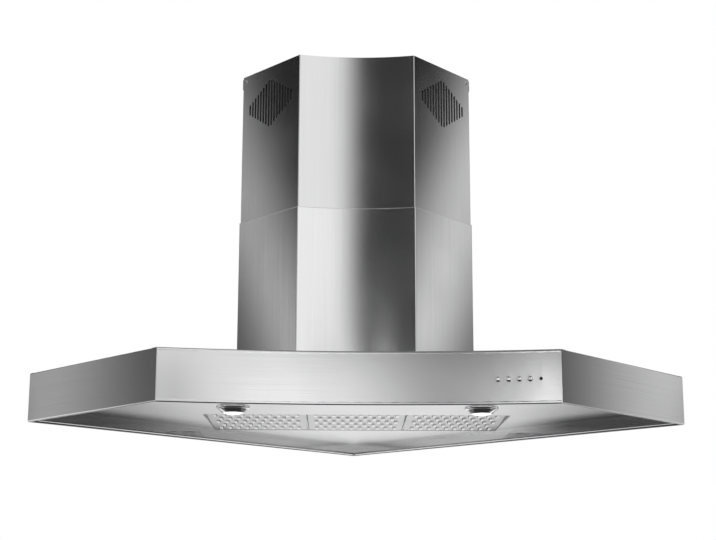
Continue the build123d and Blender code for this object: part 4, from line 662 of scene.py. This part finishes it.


# Chimney covers: two folded stainless sheets, one inside the other, rubbed upright. A matt black sheet on
# four posts stands behind the louvres of the upper one: painted shade where the dark room corner would show
# through them. A cross-headed screw holds each side to the ceiling bracket.
UPRIGHT_GRAIN = (2400.0, 2400.0, 3.0)
cover_steel = brushed_steel("cover_steel", UPRIGHT_GRAIN, STEEL, 0.16)
finish_nodes(cover_steel, "chimney_lower_cover")
# The upper cover takes the darker tone of the same stainless: painted shade, so that it reads darker than the
# lower cover.
finish_nodes(brushed_steel("upper_cover_steel", UPRIGHT_GRAIN, DARKER_STEEL, 0.16), "chimney_upper_cover")
# Matt black finish for the sheet behind the louvres: painted shade.
painted_shade_black = moulded("painted_shade_black", (0.018, 0.018, 0.019), 0.55, 1200.0, 0.0001)
UPPER_RUN, COVER_SHEET, SCREW_OUT, SCREW_Z = 0.420, 0.001, 0.015, 0.945
LOUVRE_Z, LOUVRE_OUT, SHADE_SHEET_GAP = 0.862, 0.1095, 0.009
PLATE_HALF_RUN, PLATE_HALF_RISE = 0.094, 0.072
POST_RADIUS, POST_EDGE, POST_RUN, POST_RISE = 0.0030, 0.0004, 0.084, 0.058
square_turn = np.linspace(0, 2 * np.pi, 64, False)
rounding = (np.abs(np.cos(square_turn)) ** 8 + np.abs(np.sin(square_turn)) ** 8) ** (-1 / 8)
plate_outline = circle(64) * rounding[:, None] * (PLATE_HALF_RUN, PLATE_HALF_RISE)
plate_share = [0, 0.93, 0.97, 1.0, 1.0, 0.985, 0.985, 0.955, 0]
plate_depth = [0, 0, 0, -0.0015, -0.0070, -0.0070, -0.0022, -0.0010, -0.0010]
plate = ringed(plate_share, plate_depth, plate_outline)
post = ringed([0, POST_RADIUS - POST_EDGE, POST_RADIUS, POST_RADIUS, POST_RADIUS - POST_EDGE, 0],
              [SHADE_SHEET_GAP, SHADE_SHEET_GAP, SHADE_SHEET_GAP - POST_EDGE, POST_EDGE, 0, 0], circle(12))
post_plan = np.array([[-1, -1], [-1, 1], [1, -1], [1, 1]]) * (POST_RUN, POST_RISE)


def on_side(sign, run, out, height):
    """A point of the chimney's left (sign -1) or right (1) side: run along its wall from the room corner,
    and out from the wall, both at half a right angle to X."""
    return np.array([sign * (run - out), -(run + out), 0]) / ROOT2 + np.array([0, 0, height])


for side, sign in (("left", -1), ("right", 1)):
    outward = np.array([sign, -1, 0]) / ROOT2
    forward = np.array([-sign, -1, 0]) / ROOT2
    axes = forward * -sign, up, outward
    screw_place = on_side(sign, UPPER_RUN, SCREW_OUT, SCREW_Z)
    cover_screw = put_mesh(side + "_cover_screw", *repeated(screw, screw_faces, [screw_place], *axes), zinc)
    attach(cover_screw, "upper_chimney")
    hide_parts("upper_cover_screws")
    middle = on_side(sign, UPPER_RUN - COVER_SHEET, LOUVRE_OUT, LOUVRE_Z) - SHADE_SHEET_GAP * outward
    # The black sheet behind each set of louvres is painted shade: it stands where only the dark room corner
    # would show through.
    shade_sheet = put_mesh(side + "_louvre_shade_sheet", *repeated(*plate, [middle], *axes), painted_shade_black)
    post_places = middle + post_plan[:, :1] * forward + post_plan[:, 1:] * up
    posts = put_mesh(side + "_shade_sheet_posts", *repeated(*post, post_places, *axes), zinc)
    # The sheet labelled black_plastic here is the painted-shade sheet, and the posts hold it.
    for piece, finish in ((shade_sheet, "black_plastic"), (posts, "zinc_steel")):
        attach(piece, "upper_chimney")


# Lip of the lower cover: its top edge is rolled out a little, which stiffens it and hides the raw sheet where
# the upper cover slides in.
COVER_RUN, COVER_DEPTH, COVER_SAG, COVER_TOP = 0.422, 0.219, 0.016, 0.564
ROLL_OUT, ROLL_HALF_HEIGHT, ROLL_IN = 0.0003, 0.0006, 0.0006
roll = np.radians(np.linspace(-90, 90, 13))
rolled = np.column_stack([ROLL_OUT * np.cos(roll),
                          COVER_TOP - ROLL_HALF_HEIGHT + ROLL_HALF_HEIGHT * np.sin(roll)])
cover_lip = np.vstack([rolled, [[-ROLL_IN, COVER_TOP], [-ROLL_IN, COVER_TOP - 2 * ROLL_HALF_HEIGHT]]])
rear_x, front_x = COVER_RUN / ROOT2, (COVER_RUN - COVER_DEPTH) / ROOT2
front_y = -(COVER_RUN + COVER_DEPTH) / ROOT2
arc_x = np.linspace(-front_x, front_x, 49)
cover_radius = (front_x ** 2 + COVER_SAG ** 2) / (2 * COVER_SAG)
arc_y = front_y + COVER_SAG - cover_radius + np.sqrt(cover_radius ** 2 - arc_x ** 2)
cover_path = np.vstack([[-rear_x, -rear_x], np.column_stack([arc_x, arc_y]), [rear_x, -rear_x]])
cover_edge = put_mesh("lower_cover_lip", *carried(cover_lip, cover_path), cover_steel)
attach(cover_edge, "hood")
